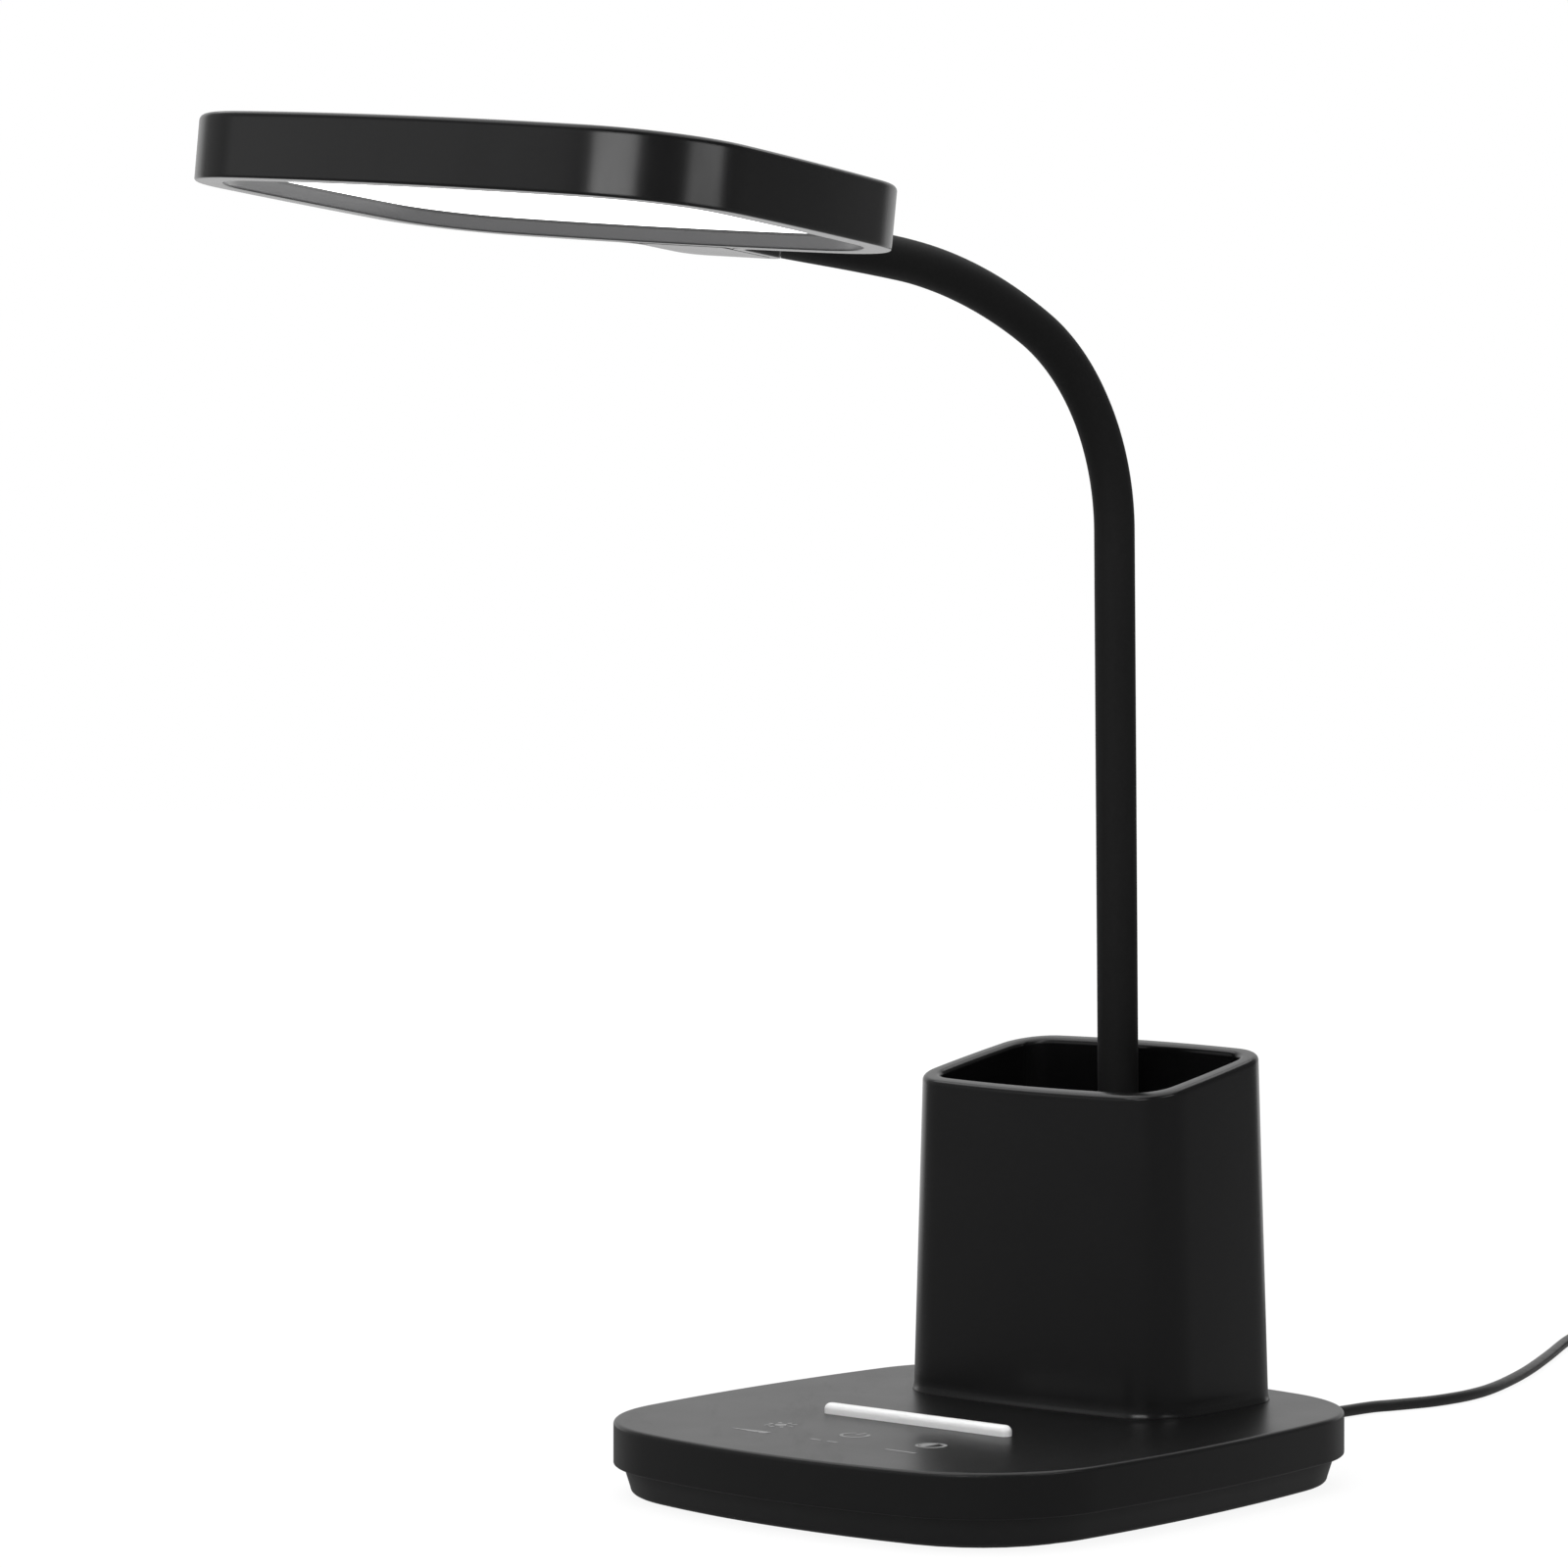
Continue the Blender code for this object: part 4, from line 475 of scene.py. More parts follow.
def bulged_face(name, shape, height, y=0.0, tongue=None):
    """A filled outline at a height, with the head's tongue at its rear if one is given."""
    side_steps, corner_steps = shape["steps"]
    centre, side_angle, end_angle = corner_of(shape)
    side_x = shape["width"] / 2 - shape["side"]
    end_y = shape["depth"] / 2 - shape["end"]
    turn, end_turn = end_angle - side_angle, math.pi - 2 * end_angle
    rear = [((0.0, y + end_y), end_turn, side_steps)]
    if tongue:
        rear = round_tongue(shape, tongue, end_y, end_angle)
    return walk(name, (shape["width"] / 2, y), height,
                ((side_x, y), side_angle, side_steps // 2),
                ((centre.x, y + centre.y), turn, corner_steps),
                *rear,
                ((-centre.x, y + centre.y), turn, corner_steps),
                ((-side_x, y), 2 * side_angle, side_steps),
                ((-centre.x, y - centre.y), turn, corner_steps),
                ((0.0, y - end_y), end_turn, side_steps),
                ((centre.x, y - centre.y), turn, corner_steps),
                ((side_x, y), side_angle, side_steps // 2))


for shape in (BASE, CUP, HEAD):
    print("corner centre:", [round(c, 4) for c in corner_of(shape)[0]])

# %% [markdown]
# ## The base cover
# The cover is one black moulding with an upright wall, a soft top edge and a thin foot that
# overhangs the tray below it. The outline becomes a slab as tall as the upright wall. Its top cap
# is then carried through a quarter round by insets, and its bottom cap over the foot and up inside,
# so that the shadow gap under the cover is a real one. The last two insets on the flat top are
# support rings, which keep smooth shading from bending the flat face.

# %% Model the base cover
EDGE, FOOT_EDGE, WALL = 0.0012, 0.0004, 0.0024
cover_low = COVER_FOOT + GAP
base_cover = bulged_face("housing_cover", BASE, cover_low + FOOT_EDGE)
raise_wall(BASE_TOP - EDGE - cover_low - FOOT_EDGE)
trace(rounding(EDGE, 6) + [(0.0008, 0.0), (0.004, 0.0)])
pick(base_cover, looks_down)
trace(rounding(FOOT_EDGE, 3) + [(WALL - FOOT_EDGE, 0.0), (0.0, cover_low + WALL - BASE_TOP)])
soften(base_cover)
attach(base_cover, "base")
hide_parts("base_cover")
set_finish(base_cover, "body_plastic")
report(base_cover)

# %% [markdown]
# ## The base tray
# Under the cover sits a tray that is a little smaller, leans inwards to its foot and ends in a
# small round. It carries the ballast and the anti-slip pad. It starts as the same outline, set back
# by the cover's wall and the gap, and its lower cap is traced down.

# %% Model the base tray
SETBACK, TRAY_TAPER, TRAY_ROUND, TRAY_BOTTOM, TRAY_RISE = 0.0029, 0.0021, 0.0015, 0.0013, 0.0055
tray = bulged_face("base_skirt", BASE, COVER_FOOT)
set_back(tray, SETBACK)
push(0.0, 0.0, TRAY_RISE)
pick(tray, looks_down)
drop = COVER_FOOT - TRAY_BOTTOM - TRAY_ROUND
trace([(TRAY_TAPER * share, drop * share) for share in (0.5, 0.42, 0.08)])
trace(rounding(TRAY_ROUND, 5) + [(0.0008, 0.0), (0.003, 0.0)])
soften(tray)
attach(tray, "base")
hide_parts("base_tray")
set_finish(tray, "tray_plastic")
report(tray)

# %% [markdown]
# ## The pen cup
# The cup is a bulged box that is open at the top. Its thick soft rim slopes down towards the front
# and leans a little to one side. A sloping rim is easiest to get by building the wall too tall and
# cutting it with a slanted plane, which Bisect does and closes with a new face. That face then goes
# through the two rounds of the rim and straight down as the inside of the cup. Scaling its points
# to nothing along Z, about a height just over the floor, makes it level again.

# %% Model the pen cup
CUP_FOOT, CUP_TALL, CUP_FRONT, CUP_RISE, CUP_LEAN = BASE_TOP, 0.111, 0.0944, 0.0133, 0.0018
CUP_WALL, CUP_FLOOR, DRAFT, LIP, HOLD, FLARE = 0.0060, 0.0030, 0.0031, 0.0017, 0.0006, 0.0005
FLARED = {**CUP, "width": CUP["width"] + 2 * FLARE, "depth": CUP["depth"] + 2 * FLARE,
          "corner": CUP["corner"] + FLARE}
cup_body = bulged_face("cup_body", FLARED, CUP_FOOT, y=CUP_Y)
push(0.0, 0.0, 0.0002)
trace([(0.00022, 0.0006), (0.00016, 0.0007), (0.00012, 0.0009)])
trace([(DRAFT * share, CUP_TALL * share) for share in (0.015, 0.485, 0.5)])
rim_normal = Vector((CUP_LEAN / CUP["width"], -CUP_RISE / CUP["depth"], 1.0)).normalized()
rim_point = Vector((0.0, CUP_Y - CUP["depth"] / 2, CUP_FOOT + CUP_FRONT)) - rim_normal * LIP
bpy.ops.mesh.select_all(action="SELECT")
bpy.ops.mesh.bisect(plane_co=rim_point - rim_normal * HOLD, plane_no=rim_normal)
bpy.ops.mesh.select_all(action="SELECT")
bpy.ops.mesh.bisect(plane_co=rim_point, plane_no=rim_normal, use_fill=True, clear_outer=True)
pick(cup_body, lambda face: face.normal.z > 0.9 and face.center.z > CUP_FOOT + CUP_FRONT / 2)
trace(rounding(LIP, 7) + [(CUP_WALL - 2 * LIP, 0.0)] + rounding(LIP, 7, into=True) + [(0.0, -HOLD)])
floor = CUP_FOOT + CUP_FLOOR
for fall in (0.040, 0.030):
    push(0.0, 0.0, -fall)
bpy.ops.transform.resize(value=(1.0, 1.0, 0.0), center_override=(0.0, CUP_Y, floor + CUP_FLOOR))
trace(rounding(CUP_FLOOR, 5, into=True) + [(0.001, 0.0)])
soften(cup_body)
report(cup_body)

# %% [markdown]
# ## The collar and the screw posts in the cup
# The neck stands in a short collar on the cup's floor, and two low posts beside it take the screws
# that hold the cup to the base. They are cylinders with a softened top edge, which sink a little
# into the floor and are joined to the cup.

# %% Model the collar and the posts
SUNK, COLLAR_WALL, COLLAR_HEIGHT = 0.001, 0.0025, 0.008
POST_X, POST_RADIUS, POST_TOP = 0.030, 0.004, 0.0073


def post(name, x, y, radius, high, soft):
    """A short upright cylinder with a rounded top edge, sunk a little into the cup's floor."""
    select_nothing()
    low = floor - SUNK
    bpy.ops.mesh.primitive_cylinder_add(vertices=48, radius=radius, depth=high - low,
                                        location=(x, y, (low + high) / 2))
    thing = name_new(name)
    pick(thing, lambda face: face.normal.z > 0.9)
    bpy.ops.mesh.bevel(offset=soft, segments=3)
    soften(thing)
    return thing


collar = post("collar", 0.0, NECK_FOOT.y, NECK_RADIUS + GAP + COLLAR_WALL,
              floor + COLLAR_HEIGHT, 0.0006)
posts = [post(f"post_{number}", x, CUP_SCREW_Y, POST_RADIUS, CUP_FOOT + POST_TOP, 0.0005)
         for number, x in enumerate((-POST_X, POST_X))]
only(cup_body, collar, *posts)
bpy.ops.object.join()
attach(cup_body, "base")
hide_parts("pen_cup")
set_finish(cup_body, "body_plastic")
report(cup_body)

# %% [markdown]
# ## The phone rest
# A phone's lower edge stands behind a narrow bar in front of the cup. The bar is a die-cast strip
# with round ends, plated and then brushed to a satin shine. Its outline is two half circles joined
# by straight runs, and only its top edge is rounded.

# %% Model the phone rest
BAR_HALF, BAR_RADIUS, BAR_Y, BAR_HEIGHT, BAR_ROUND = 0.0350, 0.0022, -0.030, 0.0028, 0.0019
BAR_STEPS = 12
bar_end = BAR_HALF - BAR_RADIUS
bar = walk("phone_rest", (bar_end, BAR_Y - BAR_RADIUS), BASE_TOP,
           ((bar_end, BAR_Y), math.pi, 18),
           *[(-2 * bar_end / BAR_STEPS, 0.0)] * BAR_STEPS,
           ((-bar_end, BAR_Y), math.pi, 18))
push(0.0, 0.0, BAR_HEIGHT + GAP - BAR_ROUND)
trace(rounding(BAR_ROUND, 8))
soften(bar)
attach(bar, "base")
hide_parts("phone_rest_bar")
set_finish(bar, "satin_chrome")
report(bar)

# %% [markdown]
# ## The signs of the touch keys
# Grey prints on the cover mark where a finger switches the lamp, sets how bright it is and how
# warm. They're generic signs: a sun over a wedge, a ring broken by a stroke, and a half moon in a
# ring. Printed ink stands a few hundredths of a millimetre proud, so each stroke is modelled as a
# very flat slab that sinks a little into the cover, and all of them are joined.

# %% Model the signs
INK_FOOT, INK_HEIGHT, STROKE = BASE_TOP - 0.0001, 0.00015, 0.0011
ink = []


def thicken(thing):
    """Gives a flat shape the height of the ink, and keeps it with the others."""
    pick(thing, everything)
    push(0.0, 0.0, INK_HEIGHT)
    settle(thing)
    ink.append(thing)


def stroke(x, y, angle, near, far, width=STROKE, tip=STROKE):
    """A straight stroke that points away from a middle, and may widen towards its tip."""
    ahead = Vector((math.cos(angle), math.sin(angle)))
    across = Vector((-ahead.y, ahead.x))
    corners = [ahead * near - across * width / 2, ahead * far - across * tip / 2,
               ahead * far + across * tip / 2, ahead * near + across * width / 2]
    moves = [after - before for before, after in zip(corners, corners[1:])]
    thicken(walk("stroke", (x + corners[0].x, y + corners[0].y), INK_FOOT, *moves))


def disc(x, y, radius, start=0.0, sweep=2 * math.pi):
    """A disc, or a part of one that is closed by a straight line."""
    first = (x + radius * math.cos(start), y + radius * math.sin(start))
    thicken(walk("disc", first, INK_FOOT, ((x, y), sweep, 32)))


def ring(x, y, radius, start=0.0, sweep=2 * math.pi):
    """A ring, or an arc of one."""
    thing = lone_point("ring", x + radius * math.cos(start), y + radius * math.sin(start), INK_FOOT)
    turn_point((x, y, INK_FOOT), sweep, 40)
    merge_close()
    bpy.ops.mesh.select_all(action="SELECT")
    push(0.0, 0.0, 0.0)
    inner = 1 - STROKE / radius
    bpy.ops.transform.resize(value=(inner, inner, 1.0), center_override=(x, y, INK_FOOT))
    thicken(thing)


KEY_X, SIGN_Y, MARK_Y, SIGN_RADIUS = 0.0285, -0.0575, -0.0710, 0.0045
disc(-KEY_X, SIGN_Y, 0.0019)
for ray in range(8):
    stroke(-KEY_X, SIGN_Y, math.pi / 4 * ray, 0.0030, 0.0048)
stroke(-KEY_X, MARK_Y, 0.0, -0.0070, 0.0070, 0.0004, 0.0032)
ring(0.0, SIGN_Y, SIGN_RADIUS, math.radians(125.0), math.radians(290.0))
stroke(0.0, SIGN_Y, math.pi / 2, 0.0005, 0.0050)
for way in (0.0, math.pi):
    stroke(0.0, MARK_Y, way, 0.0012, 0.0050)
ring(KEY_X, SIGN_Y, SIGN_RADIUS)
disc(KEY_X, SIGN_Y, 0.0037, math.pi / 2, math.pi)
stroke(KEY_X, MARK_Y, 0.0, -0.0055, 0.0055)
only(*ink)
bpy.ops.object.join()
signs = bpy.context.object
signs.name = signs.data.name = "touch_signs"
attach(signs, "base")
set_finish(signs, "reflector_film")
report(signs)

# %% [markdown]
# ## The neck's sleeve
# One silicone sleeve covers the whole gooseneck, so no joint shows on it. It is made once, as a
# thick curve along the neck's line, and turned into a mesh whose rings come one after another. Five
# pieces are cut from copies of it, one for each place where the lamp bends. Each is cut where the
# sleeve stays stiff, so neighbours share their cut ring.

# %% Make the whole sleeve
RING_SPACING, IN_TONGUE, OFF_BASE = 0.0020, 0.0032, 0.0006
line = neck_line(RING_SPACING, NECK_LENGTH)
line.append(line[-1] + neck_tangent(NECK_LENGTH) * IN_TONGUE)
for number in (0, 1):
    line[number] = line[number] + neck_tangent(0.0) * OFF_BASE
whole_sleeve = round_curve("whole_sleeve", line, NECK_RADIUS, 9)
only(whole_sleeve)
bpy.ops.object.convert(target="MESH")
whole_sleeve = bpy.context.object
around = len(whole_sleeve.data.vertices) // len(line)
print("sleeve:", len(line), "rings of", around, "points")

# %% [markdown]
# ## Five sleeve pieces
# Each piece reaches from the middle between two joints to the next such middle. The sleeve's own
# nodes are named in the same order, so each piece hides the bare sleeve on both sides of its joint.
# The points 12 millimetres before and behind each joint and the body after it are worked out, but
# nothing uses them.

# %% Cut the sleeve into five pieces
BODIES = ("base", "neck_low", "neck_middle", "neck_high", "neck_front", "head")
STRETCHES = ("foot", "low", "middle", "high", "front", "head")
BENDING = (("sway", 0.30), ("lean", 0.44), ("bend", 0.63), ("turn", 0.80), ("nod", 0.925))
BEND_REACH = 0.012
middles = [(a + b) / 2 for (_, a), (_, b) in zip(BENDING, BENDING[1:])]
cuts = [0] + [round(share * NECK_LENGTH / RING_SPACING) for share in middles] + [len(line) - 1]


def sleeve_piece(name, first, last):
    """A copy of the sleeve from one ring to another, with both ends closed."""
    thing = whole_sleeve.copy()
    thing.data = whole_sleeve.data.copy()
    thing.name = thing.data.name = name
    bpy.context.collection.objects.link(thing)
    pick(thing, lambda vertex: not first <= vertex.index // around <= last, "VERT")
    bpy.ops.mesh.delete(type="VERT")
    bpy.ops.mesh.select_all(action="SELECT")
    bpy.ops.mesh.fill_holes(sides=0)
    soften(thing, 40.0)
    return thing


sleeve_pieces = []
for number, (name, share) in enumerate(BENDING):
    piece = sleeve_piece("sleeve_" + name, cuts[number], cuts[number + 1])
    start, end = [neck_line(RING_SPACING / 4, share * NECK_LENGTH + offset)[-1]
                  for offset in (-BEND_REACH, BEND_REACH)]
    BODIES[number + 1]
    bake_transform(piece)
    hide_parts("neck_sleeve_" + STRETCHES[number], "neck_flex_" + name,
                "neck_sleeve_" + STRETCHES[number + 1])
    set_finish(piece, "neck_silicone")
    sleeve_pieces.append(piece)
    report(piece)
bpy.data.objects.remove(whole_sleeve)

# %% [markdown]
# ## The head's housing
# The head is one flat moulding, a rounded square with a tongue at its rear that the neck enters. It
# is modelled level, with the middle of its lower edge at the origin, and put in its place at the
# end. The slab is the upright wall. The top cap gets a soft edge. The lower cap gets a small one
# and then goes up inside as far as the roof, which leaves the wall standing round the light.

# %% Model the head's housing
HEAD_EDGE, HEAD_FOOT, HEAD_WALL, HEAD_ROOF = 0.0015, 0.0006, 0.0032, 0.0028
housing = bulged_face("head_housing", HEAD, HEAD_FOOT, tongue=TONGUE)
raise_wall(HEAD_THICKNESS - HEAD_EDGE - HEAD_FOOT)
trace(rounding(HEAD_EDGE, 6) + [(0.0006, 0.0), (0.0015, 0.0)])
pick(housing, looks_down)
trace(rounding(HEAD_FOOT, 6) + [(HEAD_WALL - HEAD_FOOT, 0.0)])
trace([(0.0, -(HEAD_THICKNESS - HEAD_ROOF)), (0.001, 0.0)])
soften(housing)
report(housing)

# %% [markdown]
# ## The rim round the light
# Inside the wall runs a flat rim that holds the light panel and covers its edge. It is a ring of
# its own: an outline set back by the wall's thickness and raised into a slab, whose two caps are
# opened by insets that meet in an inner wall. Edges near the top of that wall mark where the
# painted glow on it stops, so that a dark line stays between rim and panel. The ring is then joined
# to the housing.

# %% Model the rim
LIP_EDGE, LIP_HOLD, RIM_WIDTH, RIM_HEIGHT, RIM_SHADE = 0.0003, 0.0003, 0.0040, 0.0042, 0.0036
rim = bulged_face("head_rim", HEAD, 0.0)
set_back(rim, HEAD_WALL)
push(0.0, 0.0, RIM_HEIGHT)
trace([(RIM_WIDTH, 0.0)])
bpy.ops.mesh.delete(type="FACE")
pick(rim, lambda face: looks_down(face) and face.center.z < RIM_HEIGHT / 2)
trace([(RIM_WIDTH - LIP_EDGE, 0.0)] + rounding(LIP_EDGE, 3, into=True))
trace([(0.0, -LIP_HOLD), (0.0, LIP_EDGE + LIP_HOLD - RIM_SHADE), (0.0, RIM_SHADE - RIM_HEIGHT)])
bpy.ops.mesh.delete(type="FACE")
merge_close(0.00002)
soften(rim)
report(rim)
only(housing, rim)
bpy.ops.object.join()
put_on(housing, HEAD_PLACE)
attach(housing, "head")
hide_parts("head_shell")
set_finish(housing, "body_plastic")
report(housing)

# %% [markdown]
# ## The tongue's cover
# A thin plate closes the tongue from below, over the clamp that holds the neck. Its outline follows
# the head's rear bulge at the front and the tongue's inside at the back. A lip carries the wall on
# across the tongue's root and closes the light's recess. It is a slab of its own, between the arc
# of the wall's inner face and two arcs round the fillets at the root, and is joined to the plate.

# %% Model the tongue's cover
BULGE_Y = HEAD["depth"] / 2 - HEAD["end"]


def tongue_plate():
    """The plate's filled outline."""
    inset = HEAD_WALL + GAP
    half, radius = TONGUE["width"] / 2 - inset, TONGUE["corner"] - inset
    rear = HEAD["depth"] / 2 + TONGUE["length"] - inset - radius
    inner, outer = HEAD["end"] - HEAD_WALL, HEAD["end"]
    front, bulge = [BULGE_Y + math.sqrt(arc ** 2 - half ** 2) for arc in (inner, outer)]
    return walk("tongue_plate", (-half, front), 0.0,
                ((0.0, BULGE_Y), -2 * math.asin(half / inner), 12),
                (0.0, bulge - front), (0.0, rear - bulge),
                ((half - radius, rear), math.pi / 2, 8), (2 * (radius - half), 0.0),
                ((radius - half, rear), math.pi / 2, 8), (0.0, bulge - rear))


def tongue_lip():
    """The slab that goes on from the housing's inner wall, across the tongue's root."""
    low, height, overlap = 0.0001, 0.0051, 0.0001
    root, side = TONGUE["root"], TONGUE["width"] / 2 + TONGUE["root"]
    inner, around = HEAD["end"] - HEAD_WALL - overlap, root + HEAD_WALL + GAP / 2
    reach = HEAD["end"] + root
    fillet_y = BULGE_Y + math.sqrt(reach ** 2 - side ** 2)
    touch = math.asin(side / reach)
    meet = math.acos((inner ** 2 + reach ** 2 - around ** 2) / (2 * inner * reach))
    swing = math.pi / 2 - touch - math.asin(inner * math.sin(meet) / around)
    start = touch - meet
    thing = walk("tongue_lip", (-inner * math.sin(start), BULGE_Y + inner * math.cos(start)), low,
                 ((0.0, BULGE_Y), -2 * start, 28), ((side, fillet_y), -swing, 8),
                 (2 * (around - side), 0.0), ((-side, fillet_y), -swing, 8))
    push(0.0, 0.0, height)
    soften(thing)
    return thing


PLATE_THICKNESS = 0.0020
plate = tongue_plate()
push(0.0, 0.0, PLATE_THICKNESS)
pick(plate, looks_down)
trace([(0.0002, 0.0001), (0.0004, 0.0)])
soften(plate)
lip = tongue_lip()
only(plate, lip)
bpy.ops.object.join()
put_on(plate, HEAD_PLACE)
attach(plate, "head")
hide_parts("tongue_cover")
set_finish(plate, "body_plastic")
report(plate)

# %% [markdown]
# ## The light panel
# The glowing panel is an opal sheet that lies just above the rim, which covers its edge, so that a
# thin dark line shows all round the light. Its lower edge has a tiny chamfer. The outline is the
# head's own, without the tongue, and one inset brings it to size before it gets its thickness.

# %% Model the light panel
RECESS, PANEL_THICKNESS, SHADOW_GAP, CHAMFER = 0.0044, 0.0020, 0.0030, 0.0003
panel = bulged_face("light_panel", HEAD, RECESS + CHAMFER)
set_back(panel, HEAD_WALL + SHADOW_GAP)
push(0.0, 0.0, PANEL_THICKNESS - CHAMFER)
pick(panel, looks_down)
trace([(CHAMFER, CHAMFER), (0.001, 0.0)])
soften(panel)
put_on(panel, HEAD_PLACE)
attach(panel, "head")
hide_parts("diffuser")
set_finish(panel, "diffuser_opal")
report(panel)

# %% [markdown]
# ## The strain relief
# A soft rubber boot keeps the lead from kinking where it leaves the base. A few points are pushed
# along its profile, from the collar over the ribs to the tip, and Spin turns them once round the
# lead's axis. The doubled seam is merged afterwards, and the faces are turned outwards.

# %% Model the strain relief
RELIEF_Z, BOOT_LENGTH, BOOT_WIDE, BOOT_TIP, RIBS, GROOVE = 0.0099, 0.0220, 0.0039, 0.0025, 4, 0.0004
BOOT_COLLAR = 0.0020
boot_start = BASE["depth"] / 2 + GAP
profile = [(0.0, -0.004), (0.0032, -0.004), (0.0032, 0.0), (0.0042, 0.0), (0.0045, 0.0003),
           (0.0045, 0.0017), (0.0042, BOOT_COLLAR)]
pitch = (BOOT_LENGTH - BOOT_COLLAR) / RIBS
for rib in range(RIBS):
    start = BOOT_COLLAR + pitch * rib
    near, far = [BOOT_WIDE + (BOOT_TIP - BOOT_WIDE) * share / RIBS for share in (rib, rib + 1)]
    profile += [(near - GROOVE, start + 0.0002), (near - GROOVE, start + pitch / 3 - 0.0002),
                (near - GROOVE / 2, start + pitch / 3), (near, start + pitch / 3 + 0.0003),
                (far, start + pitch - 0.0002)]
profile += [(0.0023, BOOT_LENGTH), (0.0, BOOT_LENGTH)]
boot = lone_point("lead_boot", 0.0, boot_start + profile[0][1], RELIEF_Z)
for (radius, reach), (next_radius, next_reach) in zip(profile, profile[1:]):
    push(next_radius - radius, next_reach - reach, 0.0)
bpy.ops.mesh.select_all(action="SELECT")
turn_point((0.0, 0.0, RELIEF_Z), -2 * math.pi, 40, axis=(0.0, 1.0, 0.0))
merge_close(0.000005)
soften(boot)
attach(boot, "base")
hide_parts("strain_relief")
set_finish(boot, "cord_rubber")
report(boot)

# %% [markdown]
# ## A language for materials
# A shader is maths on sockets. One small class wraps a socket, so that Python's own signs add the
# Math nodes, and one method adds any other node from its type, its settings and its inputs. A
# pattern is then written as one line of maths, and the node tree builds itself.

# %% Write shader maths as Python
class Value:
    """A number that changes over a surface: a socket, and the material it belongs to."""

    def __init__(self, finish, socket):
        self.finish = finish
        self.socket = socket

    def maths(self, operation, first, second):
        return self.finish.node("Math", {"operation": operation}, **{"0": first, "1": second})

    def __add__(self, other):
        return self.maths("ADD", self, other)

    def __radd__(self, other):
        return self.maths("ADD", other, self)

    def __sub__(self, other):
        return self.maths("SUBTRACT", self, other)

    def __rsub__(self, other):
        return self.maths("SUBTRACT", other, self)

    def __mul__(self, other):
        return self.maths("MULTIPLY", self, other)

    def __rmul__(self, other):
        return self.maths("MULTIPLY", other, self)

    def above(self, edge, soft):
        """0 below an edge and 1 above it, with a soft step between."""
        return self.finish.node("MapRange", {"interpolation_type": "SMOOTHSTEP"}, value=self,
                                from_min=edge - soft, from_max=edge + soft)


class Finish:
    """A material under construction, with Object coordinates ready to use."""

    def __init__(self, name):
        self.material = bpy.data.materials.new(name)
        self.material.use_nodes = True
        self.tree = self.material.node_tree
        self.shader = self.tree.nodes["Principled BSDF"]
        self.place = self.node("TexCoord", {}, output="Object")

    def node(self, kind, settings, output=0, **inputs):
        """Adds a node. Its settings come first, then the values or links of its inputs."""
        made = self.tree.nodes.new("ShaderNode" + kind)
        for name, value in settings.items():
            setattr(made, name, value)
        for name, value in inputs.items():
            key = int(name) if name.isdigit() else name.replace("_", " ").title()
            self.feed(made.inputs[key], value)
        return Value(self, made.outputs[output])

    def feed(self, socket, value):
        if isinstance(value, Value):
            self.tree.links.new(value.socket, socket)
        else:
            socket.default_value = value

    def noise(self, scale, detail=2.0, roughness=0.5, place=None):
        return self.node("TexNoise", {}, output="Fac", vector=place or self.place, scale=scale,
                         detail=detail, roughness=roughness)

    def stretched(self, scale, turn=(0.0, 0.0, 0.0)):
        """The object's coordinates, turned and stretched."""
        return self.node("Mapping", {"vector_type": "TEXTURE"}, vector=self.place, scale=scale,
                         rotation=turn)

    def cells(self, scale, feature="F1"):
        """Distance to the middle of the nearest of many scattered cells."""
        return self.node("TexVoronoi", {"feature": feature}, output="Distance", vector=self.place,
                         scale=scale)

    def blend(self, share, low, high):
        """A colour between two, by a share: a Mix node takes colours as its inputs 6 and 7."""
        return self.node("Mix", {"data_type": "RGBA"}, output=2,
                         **{"0": share, "6": (*low, 1.0), "7": (*high, 1.0)})

    def tones(self, share, colour, dark, light=1.0):
        """A darker and a lighter tone of one colour, blended by a share."""
        low, high = [tuple(channel * tone for channel in colour) for tone in (dark, light)]
        return self.blend(share, low, high)

    def bump(self, height, distance, strength):
        return self.node("Bump", {}, height=height, distance=distance, strength=strength)

    def set(self, **values):
        """Sets or links the shader's own sockets, such as base_color or roughness."""
        special = {"ior": "IOR", "specular_level": "Specular IOR Level"}
        for name, value in values.items():
            key = special.get(name, name.replace("_", " ").title())
            if isinstance(value, tuple):
                value = (*value, 1.0)
            self.feed(self.shader.inputs[key], value)
        return self.material


print("materials can be written")

# %% [markdown]
# ## Satin black plastic
# The base, the cup and the head are moulded in black ABS from a finely sparked mould. Its grain is
# about a tenth of a millimetre and is felt more than seen: it widens the highlights. Slow changes
# of gloss, as from uneven cooling, keep large faces from looking computed, and the colour is a very
# dark grey, because nothing real is quite black. The base's top is duller than cup and head, its
# tray is matt, and the wall round the light gets a lighter grey: the panel's glow, painted on.

# %% Mix the black plastics
def moulded_black(name, colour, gloss, grain, depth):
    finish = Finish(name)
    clouds = finish.noise(38.0, 3.0)
    fine = finish.noise(grain, 2.0, 0.6)
    scuffs = finish.noise(9.0, 5.0, 0.7, finish.stretched((0.2, 1.0, 1.0), (0.3, 0.1, 0.7)))
    shade = finish.tones(clouds * 0.6 + fine * 0.4, colour, 0.8, 1.2)
    rough = gloss + (clouds - 0.5) * 0.06 + (fine - 0.5) * 0.08 + scuffs.above(0.62, 0.08) * 0.03
    return finish.set(base_color=shade, roughness=rough, normal=finish.bump(fine, depth, 0.35),
                      ior=1.45)


